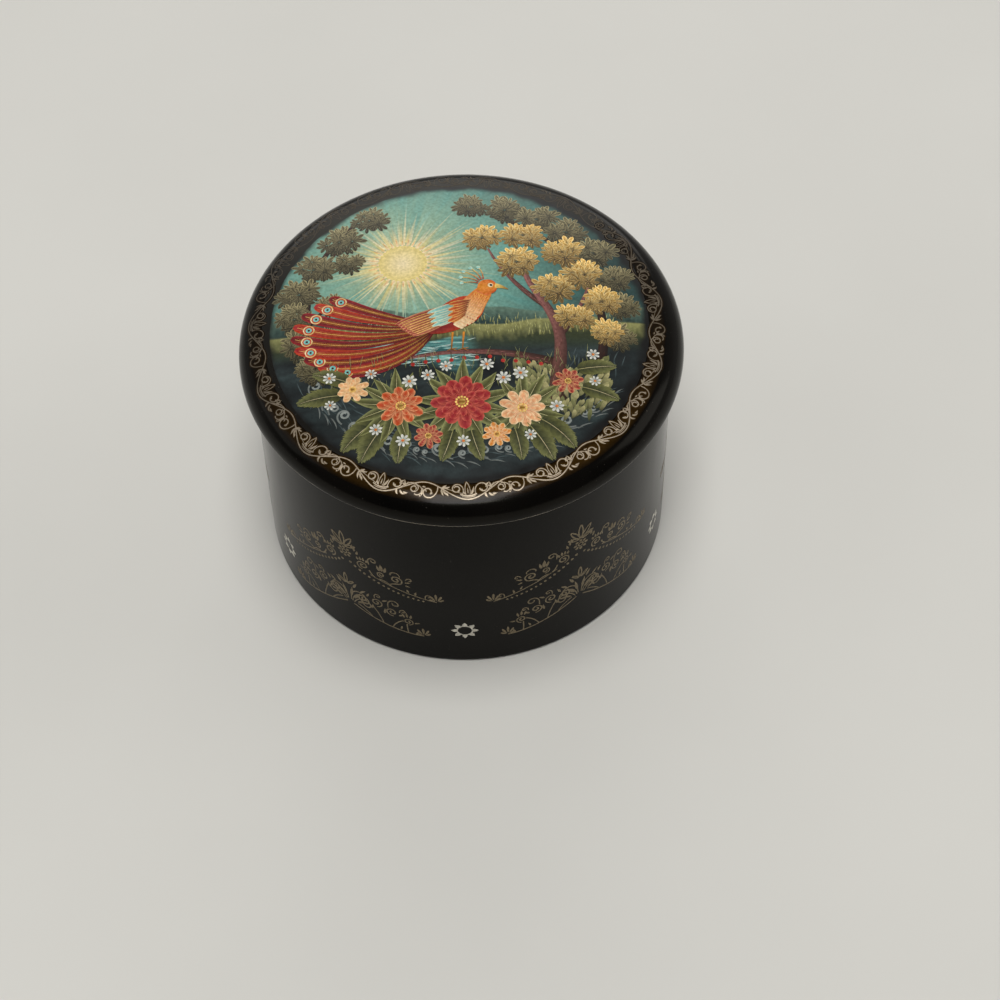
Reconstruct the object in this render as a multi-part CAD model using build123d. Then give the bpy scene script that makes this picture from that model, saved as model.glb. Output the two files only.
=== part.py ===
from build123d import *
import os
from math import sqrt

# Round lacquer box with a lift-off domed lid, in millimetres.
# +Z is up. The origin is on the box's axis, at the foot it stands on.

# Driving dimensions: the whole box
lid_diameter = 69.0
lid_overhang = 1.8
seat_height = 39.8  # foot to the ring that the lid rests on

# Driving dimensions: body
wall_thickness = 3.0
foot_round = 0.6
mouth_round = 0.3
floor_thickness = 2.8
floor_recess = 0.5  # the floor's underside above the foot
floor_rebate = 1.2  # how far the floor disc reaches into the wall
lining_thickness = 0.4
lining_drop = 0.6  # the wall lining's top edge below the seat

# Driving dimensions: lid
lid_edge_round = 0.4
lid_shoulder_radius = 3.8
lid_dome_rise = 2.0  # the shoulder's round, carried level, to the top of the dome
rim_ledge_height = 1.6  # lid's underside to the ledge that holds the panel
panel_middle_thickness = 3.0
spigot_thickness = 2.0
spigot_depth = 5.5  # how far the lid reaches into the mouth
spigot_lead_in = 0.5
picture_margin = 1.8  # picture to the panel's edge
picture_depth = 0.3

# Clearances
mouth_clearance = 0.4  # all round, between the spigot and the lined mouth

# Radii that follow from them
lid_radius = lid_diameter / 2
body_radius = lid_radius - lid_overhang
bore_radius = body_radius - wall_thickness
floor_radius = bore_radius + floor_rebate
lined_radius = bore_radius - lining_thickness
spigot_radius = lined_radius - mouth_clearance
spigot_bore_radius = spigot_radius - spigot_thickness
shoulder_centre_radius = lid_radius - lid_shoulder_radius

# Heights that follow from them
floor_top = floor_recess + floor_thickness
lining_top = seat_height - lining_drop
lid_widest_height = seat_height + lid_edge_round
lid_crown_height = lid_shoulder_radius + lid_dome_rise
lid_top = lid_widest_height + lid_crown_height
ledge_height = seat_height + rim_ledge_height
spigot_foot = seat_height - spigot_depth
panel_underside_top = lid_top - panel_middle_thickness

# The dome is a sphere that runs smoothly into the round of the shoulder
dome_radius = (
    shoulder_centre_radius**2 + lid_crown_height**2 - lid_shoulder_radius**2
) / (2 * lid_dome_rise)
dome_centre_height = lid_top - dome_radius
shoulder_lean = shoulder_centre_radius / (dome_radius - lid_shoulder_radius)
panel_radius = shoulder_centre_radius + lid_shoulder_radius * shoulder_lean
picture_radius = panel_radius - picture_margin


def at(radius, height):
    """Point of a turned outline: its distance from the box's axis and its height above the foot."""
    return Vector(radius, 0, height)


def on_dome(radius, depth=0.0):
    """Point of the lid's dome at a radius, or straight below it at a depth."""
    return at(radius, dome_centre_height + sqrt(dome_radius**2 - radius**2) - depth)


def dome_arc(inner_radius, outer_radius, depth=0.0):
    """Arc along the lid's dome between two radii, or along the dome let down by a depth."""
    radii = (inner_radius, (inner_radius + outer_radius) / 2, outer_radius)
    return ThreePointArc(*[on_dome(radius, depth) for radius in radii])


def hollow_arc(depth=0.0):
    """Arc of the panel's hollow underside from the axis to the spigot's bore, or let down by a depth."""
    rise = panel_underside_top - ledge_height
    sphere = (spigot_bore_radius**2 + rise**2) / (2 * rise)
    radii = (0, spigot_bore_radius / 2, spigot_bore_radius)
    centre_height = panel_underside_top - sphere - depth
    return ThreePointArc(*[at(r, centre_height + sqrt(sphere**2 - r**2)) for r in radii])


def round_about(centre, start, end):
    """Arc from start to end about a centre, through the point halfway along it."""
    halfway = (start + end - centre * 2).normalized() * (start - centre).length
    return ThreePointArc(start, centre + halfway, end)


def turned(*outline):
    """Solid turned about the box's axis from the lines of a closed outline."""
    return revolve(make_face(Curve() + list(outline)), Axis.Z)


def body_wall():
    """Wound tube with a rounded foot and mouth, and a rebate inside its foot for the floor."""
    tube = turned(
        Polyline(
            at(floor_radius, 0),
            at(body_radius, 0),
            at(body_radius, seat_height),
            at(bore_radius, seat_height),
            at(bore_radius, floor_top),
            at(floor_radius, floor_top),
            close=True,
        )
    )
    rims = tube.edges().filter_by(GeomType.CIRCLE)
    foot = [e for e in rims if e.radius > floor_radius and e.center().Z < floor_recess]
    tube = fillet(foot, foot_round)
    rims = tube.edges().filter_by(GeomType.CIRCLE)
    mouth = [e for e in rims if e.center().Z > seat_height - mouth_round]
    return fillet(mouth, mouth_round)


def body_floor():
    """Pressed disc glued in the wall's rebate, held a little above the foot."""
    return turned(
        Polyline(
            at(0, floor_recess),
            at(floor_radius, floor_recess),
            at(floor_radius, floor_top),
            at(0, floor_top),
            close=True,
        )
    )


def wall_lining():
    """Red lining of the wall, standing on the floor and stopping short of the mouth."""
    return turned(
        Polyline(
            at(lined_radius, floor_top),
            at(bore_radius, floor_top),
            at(bore_radius, lining_top),
            at(lined_radius, lining_top),
            close=True,
        )
    )


def floor_lining():
    """Red lining of the floor, inside the wall lining."""
    return turned(
        Polyline(
            at(0, floor_top),
            at(lined_radius, floor_top),
            at(lined_radius, floor_top + lining_thickness),
            at(0, floor_top + lining_thickness),
            close=True,
        )
    )


def lid_rim():
    """Wound ring with a rounded shoulder: it rests on the mouth and holds the panel on a ledge."""
    edge_centre = at(lid_radius - lid_edge_round, lid_widest_height)
    under_edge = at(lid_radius - lid_edge_round, seat_height)
    widest = at(lid_radius, lid_widest_height)
    shoulder_centre = at(shoulder_centre_radius, lid_widest_height)
    shoulder_top = on_dome(panel_radius)
    return turned(
        Line(at(spigot_radius, seat_height), under_edge),
        round_about(edge_centre, under_edge, widest),
        round_about(shoulder_centre, widest, shoulder_top),
        Polyline(
            shoulder_top,
            at(panel_radius, ledge_height),
            at(spigot_radius, ledge_height),
            at(spigot_radius, seat_height),
        ),
    )


def lid_panel():
    """Domed disc on the rim's ledge, hollowed below, with a shallow recess for the picture."""
    return turned(
        dome_arc(0, picture_radius, picture_depth),
        Line(on_dome(picture_radius, picture_depth), on_dome(picture_radius)),
        dome_arc(picture_radius, panel_radius),
        Polyline(
            on_dome(panel_radius),
            at(panel_radius, ledge_height),
            at(spigot_bore_radius, ledge_height),
        ),
        hollow_arc(),
        Line(at(0, panel_underside_top), on_dome(0, picture_depth)),
    )


def lid_picture():
    """Painted and lacquered layer in the panel's recess, flush with the dome."""
    return turned(
        dome_arc(0, picture_radius),
        Line(on_dome(picture_radius), on_dome(picture_radius, picture_depth)),
        dome_arc(0, picture_radius, picture_depth),
        Line(on_dome(0, picture_depth), on_dome(0)),
    )


def lid_spigot():
    """Wound ring glued inside the rim, which drops into the mouth and keeps the lid centred."""
    return turned(
        Polyline(
            at(spigot_bore_radius, spigot_foot),
            at(spigot_radius - spigot_lead_in, spigot_foot),
            at(spigot_radius, spigot_foot + spigot_lead_in),
            at(spigot_radius, ledge_height),
            at(spigot_bore_radius, ledge_height),
            close=True,
        )
    )


def lid_lining():
    """Red lining under the panel, inside the spigot."""
    lining_edge = at(spigot_bore_radius, ledge_height)
    lining_middle = at(0, panel_underside_top)
    lower = at(0, -lining_thickness)
    return turned(
        hollow_arc(),
        Line(lining_edge, lining_edge + lower),
        hollow_arc(lining_thickness),
        Line(lining_middle + lower, lining_middle),
    )


pieces = {
    "body_wall": body_wall,
    "body_floor": body_floor,
    "wall_lining": wall_lining,
    "floor_lining": floor_lining,
    "lid_rim": lid_rim,
    "lid_panel": lid_panel,
    "lid_spigot": lid_spigot,
    "lid_lining": lid_lining,
    "lid_picture": lid_picture,
}

os.makedirs("parts", exist_ok=True)
for name, make in pieces.items():
    solid = make()
    export_step(solid, f"parts/{name}.step")
    print(name, round(solid.volume), solid.bounding_box().size)
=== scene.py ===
from math import cos, radians, sin

import bmesh
import bpy
import numpy as np
from mathutils import Matrix, Vector


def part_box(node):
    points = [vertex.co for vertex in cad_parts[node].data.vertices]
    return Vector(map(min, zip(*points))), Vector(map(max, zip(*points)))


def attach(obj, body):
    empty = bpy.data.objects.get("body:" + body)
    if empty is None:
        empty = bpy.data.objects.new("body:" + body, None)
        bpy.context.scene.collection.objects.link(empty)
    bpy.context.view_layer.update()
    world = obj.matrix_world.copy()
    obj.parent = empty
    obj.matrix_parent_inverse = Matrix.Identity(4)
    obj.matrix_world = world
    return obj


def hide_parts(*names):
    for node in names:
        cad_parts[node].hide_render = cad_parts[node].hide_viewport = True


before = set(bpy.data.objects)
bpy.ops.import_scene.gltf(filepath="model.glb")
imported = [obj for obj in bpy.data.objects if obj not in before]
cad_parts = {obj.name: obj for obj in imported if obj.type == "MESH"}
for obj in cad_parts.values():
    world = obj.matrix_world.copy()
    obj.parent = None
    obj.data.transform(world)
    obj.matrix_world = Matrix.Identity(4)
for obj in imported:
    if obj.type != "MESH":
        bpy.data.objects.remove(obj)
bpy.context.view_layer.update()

# Round lacquer box with a lift-off domed lid. Metres, +Z up, the foot at z = 0.
# Sizes of the box come from the frame; sizes of the painting are in millimetres of the lid's plan.
mm = 0.001


def box_of(node):
    """Radius, lowest and highest height of a turned node."""
    low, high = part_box(node)
    return high[0], low[2], high[2]


# Sizes read from the frame
BODY_RADIUS, FOOT_HEIGHT, SEAT_HEIGHT = box_of("body_wall")
FLOOR_RADIUS, FLOOR_UNDERSIDE, FLOOR_TOP = box_of("body_floor")
BORE_RADIUS, _, LINING_TOP = box_of("wall_lining")
LINED_RADIUS, _, FLOOR_LINING_TOP = box_of("floor_lining")
LID_RADIUS, _, RIM_TOP = box_of("lid_rim")
PANEL_RADIUS, LEDGE_HEIGHT, _ = box_of("lid_panel")
SPIGOT_RADIUS, SPIGOT_FOOT, _ = box_of("lid_spigot")
SPIGOT_BORE, _, HOLLOW_TOP = box_of("lid_lining")
PICTURE_RADIUS, PICTURE_FOOT, LID_TOP = box_of("lid_picture")
LINING = BORE_RADIUS - LINED_RADIUS

# Small rounds and the lid's shape: a sphere that runs smoothly into the round of the shoulder
FOOT_ROUND = 0.6 * mm
MOUTH_ROUND = 0.3 * mm
EDGE_ROUND = 0.4 * mm
SPIGOT_LEAD_IN = 0.5 * mm
DOME_DROP = LID_TOP - RIM_TOP
DOME_RADIUS = (PANEL_RADIUS**2 + DOME_DROP**2) / (2 * DOME_DROP)
SHOULDER_LEAN = PANEL_RADIUS / DOME_RADIUS
SHOULDER = (LID_RADIUS - PANEL_RADIUS) / (1 - SHOULDER_LEAN)
SHOULDER_CENTRE = LID_RADIUS - SHOULDER
WIDEST_HEIGHT = SEAT_HEIGHT + EDGE_ROUND
PICTURE_SINK = 0.15 * mm  # the picture's ground lies this far under the dome at its middle
AROUND = 320  # facets round every turned piece
SHARP_ANGLE = 40  # degrees between two faces, beyond which the edge between them is sharp
SAME_PLACE = 0.0001 * mm  # points nearer than this are one
END_STEP = 0.004  # share of a straight stretch between its end and the point beside it


# Outlines and turned pieces


def polar(centre, radius, angle):
    """Points at a radius and angles in degrees about a centre."""
    a = np.radians(angle)
    return np.stack([centre[0] + radius * np.cos(a), centre[1] + radius * np.sin(a)], -1)


def arc(centre, radius, first, last, points=14):
    """Points round an arc of an outline between two angles, in degrees up from level and outwards."""
    return polar(centre, radius, np.linspace(first, last, points))


def straight(start, end, points):
    """Points along a straight stretch of an outline, close at its ends so that shading turns only there."""
    t = np.linspace(0, 1, points)[1:-1]
    t = np.concatenate([[0, END_STEP], t, [1 - END_STEP, 1]])[:, None]
    return start + t * (end - start)


def outlined(first, *rest):
    """Outline through stops, each a point or a row of points, with straight stretches between them.

    Before each stop after the first stands the number of points in the stretch to it, or 0 for no stretch.
    Doubled points are left out, and so is the last point of a ring, which ends where it starts.
    """
    line = [np.atleast_2d(first)]
    for points, stop in zip(rest[::2], rest[1::2]):
        stop = np.atleast_2d(stop)
        if points:
            line.append(straight(line[-1][-1], stop[0], points))
        line.append(stop)
    line = np.concatenate(line)
    return line[np.hypot(*np.diff(line, axis=0, append=line[:1]).T) > SAME_PLACE]


def grid_faces(rows, columns, closed_rows, closed_columns):
    """Quads of a grid of rows by columns, wrapped round where a direction is closed."""
    i = np.arange(rows if closed_rows else rows - 1)
    j = np.arange(columns if closed_columns else columns - 1)
    i, j = np.meshgrid(i, j, indexing="ij")
    down, across = (i + 1) % rows, (j + 1) % columns
    corners = [i * columns + j, i * columns + across, down * columns + across, down * columns + j]
    return np.stack(corners, -1).reshape(-1, 4)


def new_mesh(name, points, faces, material, colours=None):
    """Smooth mesh piece at the origin from its points and quads, with its paint as a point attribute."""
    mesh = bpy.data.meshes.new(name)
    mesh.vertices.add(len(points))
    mesh.vertices.foreach_set("co", np.asarray(points, np.float32).ravel())
    mesh.loops.add(faces.size)
    mesh.loops.foreach_set("vertex_index", faces.astype(np.int32).ravel())
    mesh.polygons.add(len(faces))
    mesh.polygons.foreach_set("loop_start", np.arange(0, faces.size, 4, dtype=np.int32))
    mesh.polygons.foreach_set("use_smooth", np.ones(len(faces), bool))
    if colours is not None:
        paint = mesh.attributes.new("paint", "FLOAT_COLOR", "POINT")
        rgba = np.concatenate([colours, np.ones((len(colours), 1))], 1)
        paint.data.foreach_set("color", rgba.astype(np.float32).ravel())
    mesh.update(calc_edges=True)
    mesh.materials.append(material)
    piece = bpy.data.objects.new(name, mesh)
    bpy.context.scene.collection.objects.link(piece)
    return piece


def close_poles(piece):
    """Merges the points that fall together on the axis, and drops the faces that vanish there."""
    work = bmesh.new()
    work.from_mesh(piece.data)
    bmesh.ops.remove_doubles(work, verts=work.verts, dist=SAME_PLACE)
    bmesh.ops.dissolve_degenerate(work, edges=work.edges, dist=SAME_PLACE / 10)
    work.to_mesh(piece.data)
    work.free()


def turned(name, outline, material, node, body, paint=None, around=AROUND):
    """Piece turned about the box's axis: each outline point (radius, height) carried round a circle.

    An outline runs anticlockwise, up its outer side, so that faces point outwards. One that starts and
    ends on the axis is closed there; any other is a ring and closes on itself.
    """
    ring = outline[0, 0] > SAME_PLACE
    a = 2 * np.pi * np.arange(around) / around
    x = outline[:, :1] * np.cos(a)
    y = outline[:, :1] * np.sin(a)
    z = np.broadcast_to(outline[:, 1:], x.shape)
    points = np.stack([x, y, z], -1).reshape(-1, 3)
    faces = grid_faces(len(outline), around, ring, True)
    piece = new_mesh(name, points, faces, material, paint(points) if paint else None)
    if not ring:
        close_poles(piece)
    piece.data.set_sharp_from_angle(angle=radians(SHARP_ANGLE))
    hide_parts(node)
    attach(piece, body)
    return piece


def lid_height(radius):
    """Height of the lid's top: the dome's sphere, then the round of the shoulder beyond the panel."""
    dome = LID_TOP - DOME_RADIUS + np.sqrt(DOME_RADIUS**2 - np.minimum(radius, PANEL_RADIUS) ** 2)
    out = np.clip(radius - SHOULDER_CENTRE, 0, SHOULDER)
    return np.where(radius > PANEL_RADIUS, WIDEST_HEIGHT + np.sqrt(SHOULDER**2 - out**2), dome)


def picture_height(radius):
    """Height of the picture's ground: the dome, a hair lower towards its middle to leave room for paint."""
    return lid_height(radius) - PICTURE_SINK * (1 - np.minimum(radius / PICTURE_RADIUS, 1) ** 2)


def recess_height(radius):
    """Height of the panel's recess under the picture: the dome, let down by the picture's thickness."""
    return lid_height(radius) - lid_height(PICTURE_RADIUS) + PICTURE_FOOT


# Colours, as they look on the box


def colour(red, green, blue):
    """Linear colour from the red, green and blue that the eye sees, 0 to 255."""
    c = np.array([red, green, blue]) / 255
    return np.where(c <= 0.04045, c / 12.92, ((c + 0.055) / 1.055) ** 2.4)


TEAL, DEEP_TEAL, TURQUOISE = colour(92, 158, 150), colour(28, 58, 58), colour(140, 205, 195)
CREAM, PALE_YELLOW, WHITE = colour(240, 222, 178), colour(226, 205, 128), colour(238, 236, 224)
CRIMSON, MAROON, WINE = colour(158, 42, 48), colour(98, 26, 30), colour(56, 16, 18)
ORANGE_RED, ORANGE, PEACH = colour(198, 74, 38), colour(220, 140, 54), colour(230, 172, 122)
GOLD, BRIGHT_GOLD, OCHRE = colour(208, 160, 68), colour(240, 204, 112), colour(124, 80, 26)
OLIVE, PALE_GREEN, DARK_OLIVE = colour(112, 112, 58), colour(184, 186, 122), colour(40, 44, 26)
MAUVE, BROWN, GREY = colour(136, 88, 82), colour(62, 38, 28), colour(150, 156, 150)
LACQUER_BLACK, RED_LACQUER = colour(8, 7, 6), colour(168, 26, 18)
BORDER_GOLD, WALL_GOLD = colour(178, 163, 141), colour(132, 119, 96)
# The third colour here is a painted highlight for the lid's lower edge.
GOLD_SIZE, BORDER_GLAZE, EDGE_HIGHLIGHT = colour(60, 42, 17), colour(50, 34, 9), colour(186, 174, 152)
STAR_PAINT = colour(226, 221, 206)


def mix(first, second, share):
    """Colour or colours a share of the way from the first to the second."""
    return first + (second - first) * np.asarray(share)[..., None]


def ease(low, high, value):
    """Smooth step from 0 at low to 1 at high."""
    t = np.clip((value - low) / (high - low), 0, 1)
    return t * t * (3 - 2 * t)


LATTICE = 64  # random values along each side of a mottle, which repeats beyond them


def mottle(x, y, seed):
    """Soft random field from 0 to 1: random values on a square lattice of step 1, eased in between."""
    lattice = np.random.default_rng(seed).random((LATTICE, LATTICE))
    i, j = np.floor(x).astype(int), np.floor(y).astype(int)
    u, v = ease(0, 1, x - i), ease(0, 1, y - j)
    i, j, right, up = [k % LATTICE for k in (i, j, i + 1, j + 1)]
    near = lattice[i, j] * (1 - u) + lattice[right, j] * u
    far = lattice[i, up] * (1 - u) + lattice[right, up] * u
    return near * (1 - v) + far * v


# Finishes


class Finish:
    """A material and the nodes that it is made of."""

    def __init__(self, name):
        self.material = bpy.data.materials.new(name)
        self.material.use_nodes = True
        self.tree = self.material.node_tree
        self.surface = self.tree.nodes["Principled BSDF"]
        self.place = self.node("ShaderNodeTexCoord").outputs["Object"]

    def node(self, kind, **values):
        """New node, with its settings and unlinked sockets set by name."""
        node = self.tree.nodes.new(kind)
        for key, value in values.items():
            if hasattr(node, key):
                setattr(node, key, value)
            else:
                node.inputs[key.replace("_", " ")].default_value = value
        return node

    def join(self, output, socket):
        """Links a node's output to a socket."""
        self.tree.links.new(output, socket)

    def fixed(self, **values):
        """Values that are the same all over the surface, set on the shader's own sockets."""
        for key, value in values.items():
            self.surface.inputs[key.replace("_", " ")].default_value = value

    def grain(self, scale, detail=4.0, stretch=(1, 1, 1)):
        """Noise of a scale per metre, stretched along the axes."""
        mapped = self.node("ShaderNodeMapping", Scale=stretch)
        self.join(self.place, mapped.inputs["Vector"])
        noise = self.node("ShaderNodeTexNoise", Scale=scale, Detail=detail)
        self.join(mapped.outputs["Vector"], noise.inputs["Vector"])
        return noise.outputs["Fac"]

    def ranged(self, value, low, high, to_low, to_high):
        """A value spread from one range to another and held inside it."""
        node = self.node("ShaderNodeMapRange", From_Min=low, From_Max=high, To_Min=to_low, To_Max=to_high)
        self.join(value, node.inputs["Value"])
        return node.outputs["Result"]

    def blended(self, share, first, second):
        """Mix of two colours, each a colour or the output of a node."""
        node = self.node("ShaderNodeMix", data_type="RGBA")
        self.join(share, node.inputs["Factor"])
        for name, value in (("A", first), ("B", second)):
            socket = [s for s in node.inputs if s.name == name and s.type == "RGBA"][0]
            if isinstance(value, bpy.types.NodeSocket):
                self.join(value, socket)
            else:
                socket.default_value = (*value, 1)
        return [s for s in node.outputs if s.type == "RGBA"][0]

    def coloured(self, output):
        """Colour of the surface, from a node's output."""
        self.join(output, self.surface.inputs["Base Color"])

    def rubbed(self, scale, detail, gloss, satin):
        """Roughness of the surface, which varies from gloss to satin with a grain."""
        grain = self.grain(scale, detail)
        self.join(self.ranged(grain, 0.3, 0.7, gloss, satin), self.surface.inputs["Roughness"])

    def bumped(self, *grains):
        """Bump from each grain's height output, distance in metres and strength, one over the other."""
        normal = None
        for height, distance, strength in grains:
            bump = self.node("ShaderNodeBump", Distance=distance, Strength=strength)
            self.join(height, bump.inputs["Height"])
            if normal:
                self.join(normal, bump.inputs["Normal"])
            normal = bump.outputs["Normal"]
        self.join(normal, self.surface.inputs["Normal"])


def black_lacquer(name, gloss, satin, waviness, index):
    """Black lacquer: a near-black ground with a warm bloom and dust in it, rubbed to an uneven gloss."""
    finish = Finish(name)
    bloom = finish.ranged(finish.grain(70, 6), 0.35, 0.75, 0, 1)
    ground = finish.blended(bloom, LACQUER_BLACK * 0.7, colour(15, 13, 11))
    dust = finish.ranged(finish.grain(2600, 1), 0.74, 0.8, 0, 0.5)
    finish.coloured(finish.blended(dust, ground, colour(70, 66, 60)))
    finish.rubbed(45, 5, gloss, satin)
    finish.bumped((finish.grain(120, 2), 0.02 * mm, waviness), (finish.grain(4200, 3), 0.004 * mm, 0.6))
    finish.fixed(IOR=index, Specular_Tint=(1, 0.94, 0.8, 1))
    return finish.material


def red_lacquer(name):
    """Vermilion lacquer: clear red with darker clouds where the brush left it thicker."""
    finish = Finish(name)
    clouds = finish.ranged(finish.grain(55, 5), 0.35, 0.7, 0, 1)
    ground = finish.blended(clouds, RED_LACQUER, colour(128, 16, 14))
    dust = finish.ranged(finish.grain(2300, 1), 0.72, 0.8, 0, 0.4)
    finish.coloured(finish.blended(dust, ground, colour(60, 10, 8)))
    finish.rubbed(40, 4, 0.18, 0.34)
    brushed = finish.grain(90, 2, (1, 1, 0.3))
    finish.bumped((brushed, 0.03 * mm, 0.5), (finish.grain(1500, 3), 0.004 * mm, 0.4))
    finish.fixed(IOR=1.5)
    return finish.material


def paint_under_lacquer(name, metal, gloss, satin, index):
    """Paint of the piece's own colours, with streaks from the brush in it and clear lacquer over it."""
    finish = Finish(name)
    paint = finish.node("ShaderNodeAttribute", attribute_name="paint").outputs["Color"]
    thin = finish.node("ShaderNodeHueSaturation", Value=0.74, Saturation=1.05)
    finish.join(paint, thin.inputs["Color"])
    streaks = finish.ranged(finish.grain(2200, 3), 0.35, 0.65, 0, 1)
    finish.coloured(finish.blended(streaks, thin.outputs["Color"], paint))
    finish.rubbed(600, 4, gloss, satin)
    finish.bumped((finish.grain(1500, 3), 0.006 * mm, 0.4))
    finish.fixed(Metallic=metal, IOR=index)
    return finish.material


BODY_BLACK = black_lacquer("body_black_lacquer", gloss=0.10, satin=0.17, waviness=0.25, index=1.17)
LID_BLACK = black_lacquer("lid_black_lacquer", gloss=0.25, satin=0.33, waviness=0.35, index=1.36)
SHOULDER_BLACK = black_lacquer("shoulder_black_lacquer", gloss=0.14, satin=0.2, waviness=0.3, index=1.22)
SPIGOT_BLACK = black_lacquer("spigot_black_lacquer", gloss=0.34, satin=0.5, waviness=0.5, index=1.4)
RED = red_lacquer("red_lining_lacquer")
PICTURE_PAINT = paint_under_lacquer("picture_paint", metal=0.0, gloss=0.28, satin=0.36, index=1.37)
GLAZE = paint_under_lacquer("border_glaze_paint", metal=0.0, gloss=0.14, satin=0.2, index=1.19)
GILDING = paint_under_lacquer("gold_paint", metal=0.8, gloss=0.42, satin=0.52, index=1.35)


# The box itself


def disc_outline(radius, low, high):
    """Outline of a flat disc between two heights."""
    return outlined((0, low), 24, (radius, low), 3, (radius, high), 24, (0, high))


def build_body():
    """Wall, floor and linings: closed outlines turned about the axis, with rounded edges on the wall."""
    rebate, under_wall = (FLOOR_RADIUS, FLOOR_TOP), (FLOOR_RADIUS, FOOT_HEIGHT)
    foot = arc((BODY_RADIUS - FOOT_ROUND, FOOT_ROUND), FOOT_ROUND, -90, 0)
    outer_lip = arc((BODY_RADIUS - MOUTH_ROUND, SEAT_HEIGHT - MOUTH_ROUND), MOUTH_ROUND, 0, 90)
    inner_lip = arc((BORE_RADIUS + MOUTH_ROUND, SEAT_HEIGHT - MOUTH_ROUND), MOUTH_ROUND, 90, 180)
    bore_foot = (BORE_RADIUS, FLOOR_TOP)
    wall = outlined(
        under_wall, 12, foot, 40, outer_lip, 12, inner_lip, 20, bore_foot, 3, rebate, 4, under_wall
    )
    turned("body_tube", wall, BODY_BLACK, "body_wall", "body")
    disc = disc_outline(FLOOR_RADIUS, FLOOR_UNDERSIDE, FLOOR_TOP)
    turned("floor_disc", disc, BODY_BLACK, "body_floor", "body")
    lining_foot = (LINED_RADIUS, FLOOR_TOP)
    lining_lip = arc((LINED_RADIUS + LINING / 2, LINING_TOP - LINING / 2), LINING / 2, 0, 180)
    sleeve = outlined(lining_foot, 3, bore_foot, 20, lining_lip, 40, lining_foot)
    turned("red_sleeve", sleeve, RED, "wall_lining", "body")
    carpet = disc_outline(LINED_RADIUS, FLOOR_TOP, FLOOR_LINING_TOP)
    turned("red_floor", carpet, RED, "floor_lining", "body")


def dome_line(inner, outer, height, points=60):
    """Outline points along a height rule of the lid between two radii."""
    r = np.linspace(inner, outer, points)
    return np.stack([r, height(r)], -1)


def hollow_line(depth, points=40):
    """Outline points along the lid's hollow underside, let down by a depth, from the bore to the axis."""
    rise = HOLLOW_TOP - LEDGE_HEIGHT
    sphere = (SPIGOT_BORE**2 + rise**2) / (2 * rise)
    r = np.linspace(SPIGOT_BORE, 0, points)
    return np.stack([r, HOLLOW_TOP - depth - sphere + np.sqrt(sphere**2 - r**2)], -1)


def build_lid():
    """Rim, panel, spigot and lining: closed outlines turned about the axis."""
    edge = arc((LID_RADIUS - EDGE_ROUND, WIDEST_HEIGHT), EDGE_ROUND, -90, 0)
    shoulder_end = np.degrees(np.arccos(SHOULDER_LEAN))
    shoulder = arc((SHOULDER_CENTRE, WIDEST_HEIGHT), SHOULDER, 0, shoulder_end, 60)
    seat, ledge = (SPIGOT_RADIUS, SEAT_HEIGHT), (PANEL_RADIUS, LEDGE_HEIGHT)
    spigot_top = (SPIGOT_RADIUS, LEDGE_HEIGHT)
    rim = outlined(seat, 12, edge, 0, shoulder, 4, ledge, 4, spigot_top, 4, seat)
    turned("lid_shoulder", rim, SHOULDER_BLACK, "lid_rim", "lid")
    margin = dome_line(PICTURE_RADIUS, PANEL_RADIUS, lid_height, 20)[::-1]
    bed = dome_line(0, PICTURE_RADIUS, recess_height)[::-1]
    panel = outlined(hollow_line(0)[::-1], 4, ledge, 4, margin, 0, bed)
    turned("lid_dome", panel, LID_BLACK, "lid_panel", "lid")
    heel, tip = (SPIGOT_BORE, SPIGOT_FOOT), (SPIGOT_RADIUS - SPIGOT_LEAD_IN, SPIGOT_FOOT)
    bevel = (SPIGOT_RADIUS, SPIGOT_FOOT + SPIGOT_LEAD_IN)
    spigot = outlined(heel, 4, tip, 3, bevel, 8, spigot_top, 4, (SPIGOT_BORE, LEDGE_HEIGHT), 8, heel)
    turned("lid_locating_ring", spigot, SPIGOT_BLACK, "lid_spigot", "lid")
    lining = outlined(hollow_line(LINING)[::-1], 3, hollow_line(0))
    turned("red_lid_lining", lining, RED, "lid_lining", "lid")


# Brushwork: every line, leaf and petal is a ribbon of paint


def leaf(t):
    """Pointed at both ends, widest nearer the root."""
    return np.sin(np.pi * t**0.7)


def petal(t):
    """Narrow at the root and round at the tip."""
    return 1.1 * np.sqrt(np.clip(1 - (2 * t - 1) ** 2, 0, 1)) * t**0.35


def broad_petal(t):
    """Wide, with a blunt round tip."""
    return np.sqrt(np.clip(1 - (1.55 * t - 0.55) ** 2, 0, 1)) * t**0.8


def quill(t):
    """Long and even, with a round tip."""
    return petal(t**0.8)


def taper(t):
    """Full at the root and fine at the tip."""
    return (1 - t) ** 0.8


def dab(t):
    """A round dab."""
    return np.sqrt(np.clip(1 - (2 * t - 1) ** 2, 0, 1))


def line_form(t):
    """An even line, a little heavier at its end."""
    return 0.75 + 0.35 * t


def even(t):
    """An even line."""
    return np.ones_like(t)


def plume(t):
    """Narrow along its stem, then widening to a blunt tip."""
    return 0.28 + 0.9 * t**1.5 * np.sqrt(np.clip(1 - t**7, 0, 1))


def bird_body(t):
    """Round at both ends, fuller towards the breast."""
    return dab(t) * (0.72 + 0.45 * t)


def bird_neck(t):
    """Blunt at both ends, narrower towards the head."""
    return (1.05 - 0.45 * t) * np.sqrt(np.clip(1 - (2 * t - 1) ** 8, 0, 1))


def narrowing(share):
    """Form that narrows evenly from root to tip, by a share of its width in all."""
    return lambda t: 1 - share * t


def for_each(value, count):
    """A value for each of a count of strokes, given once for all or one by one."""
    return np.broadcast_to(np.asarray(value, float), count)


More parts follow.
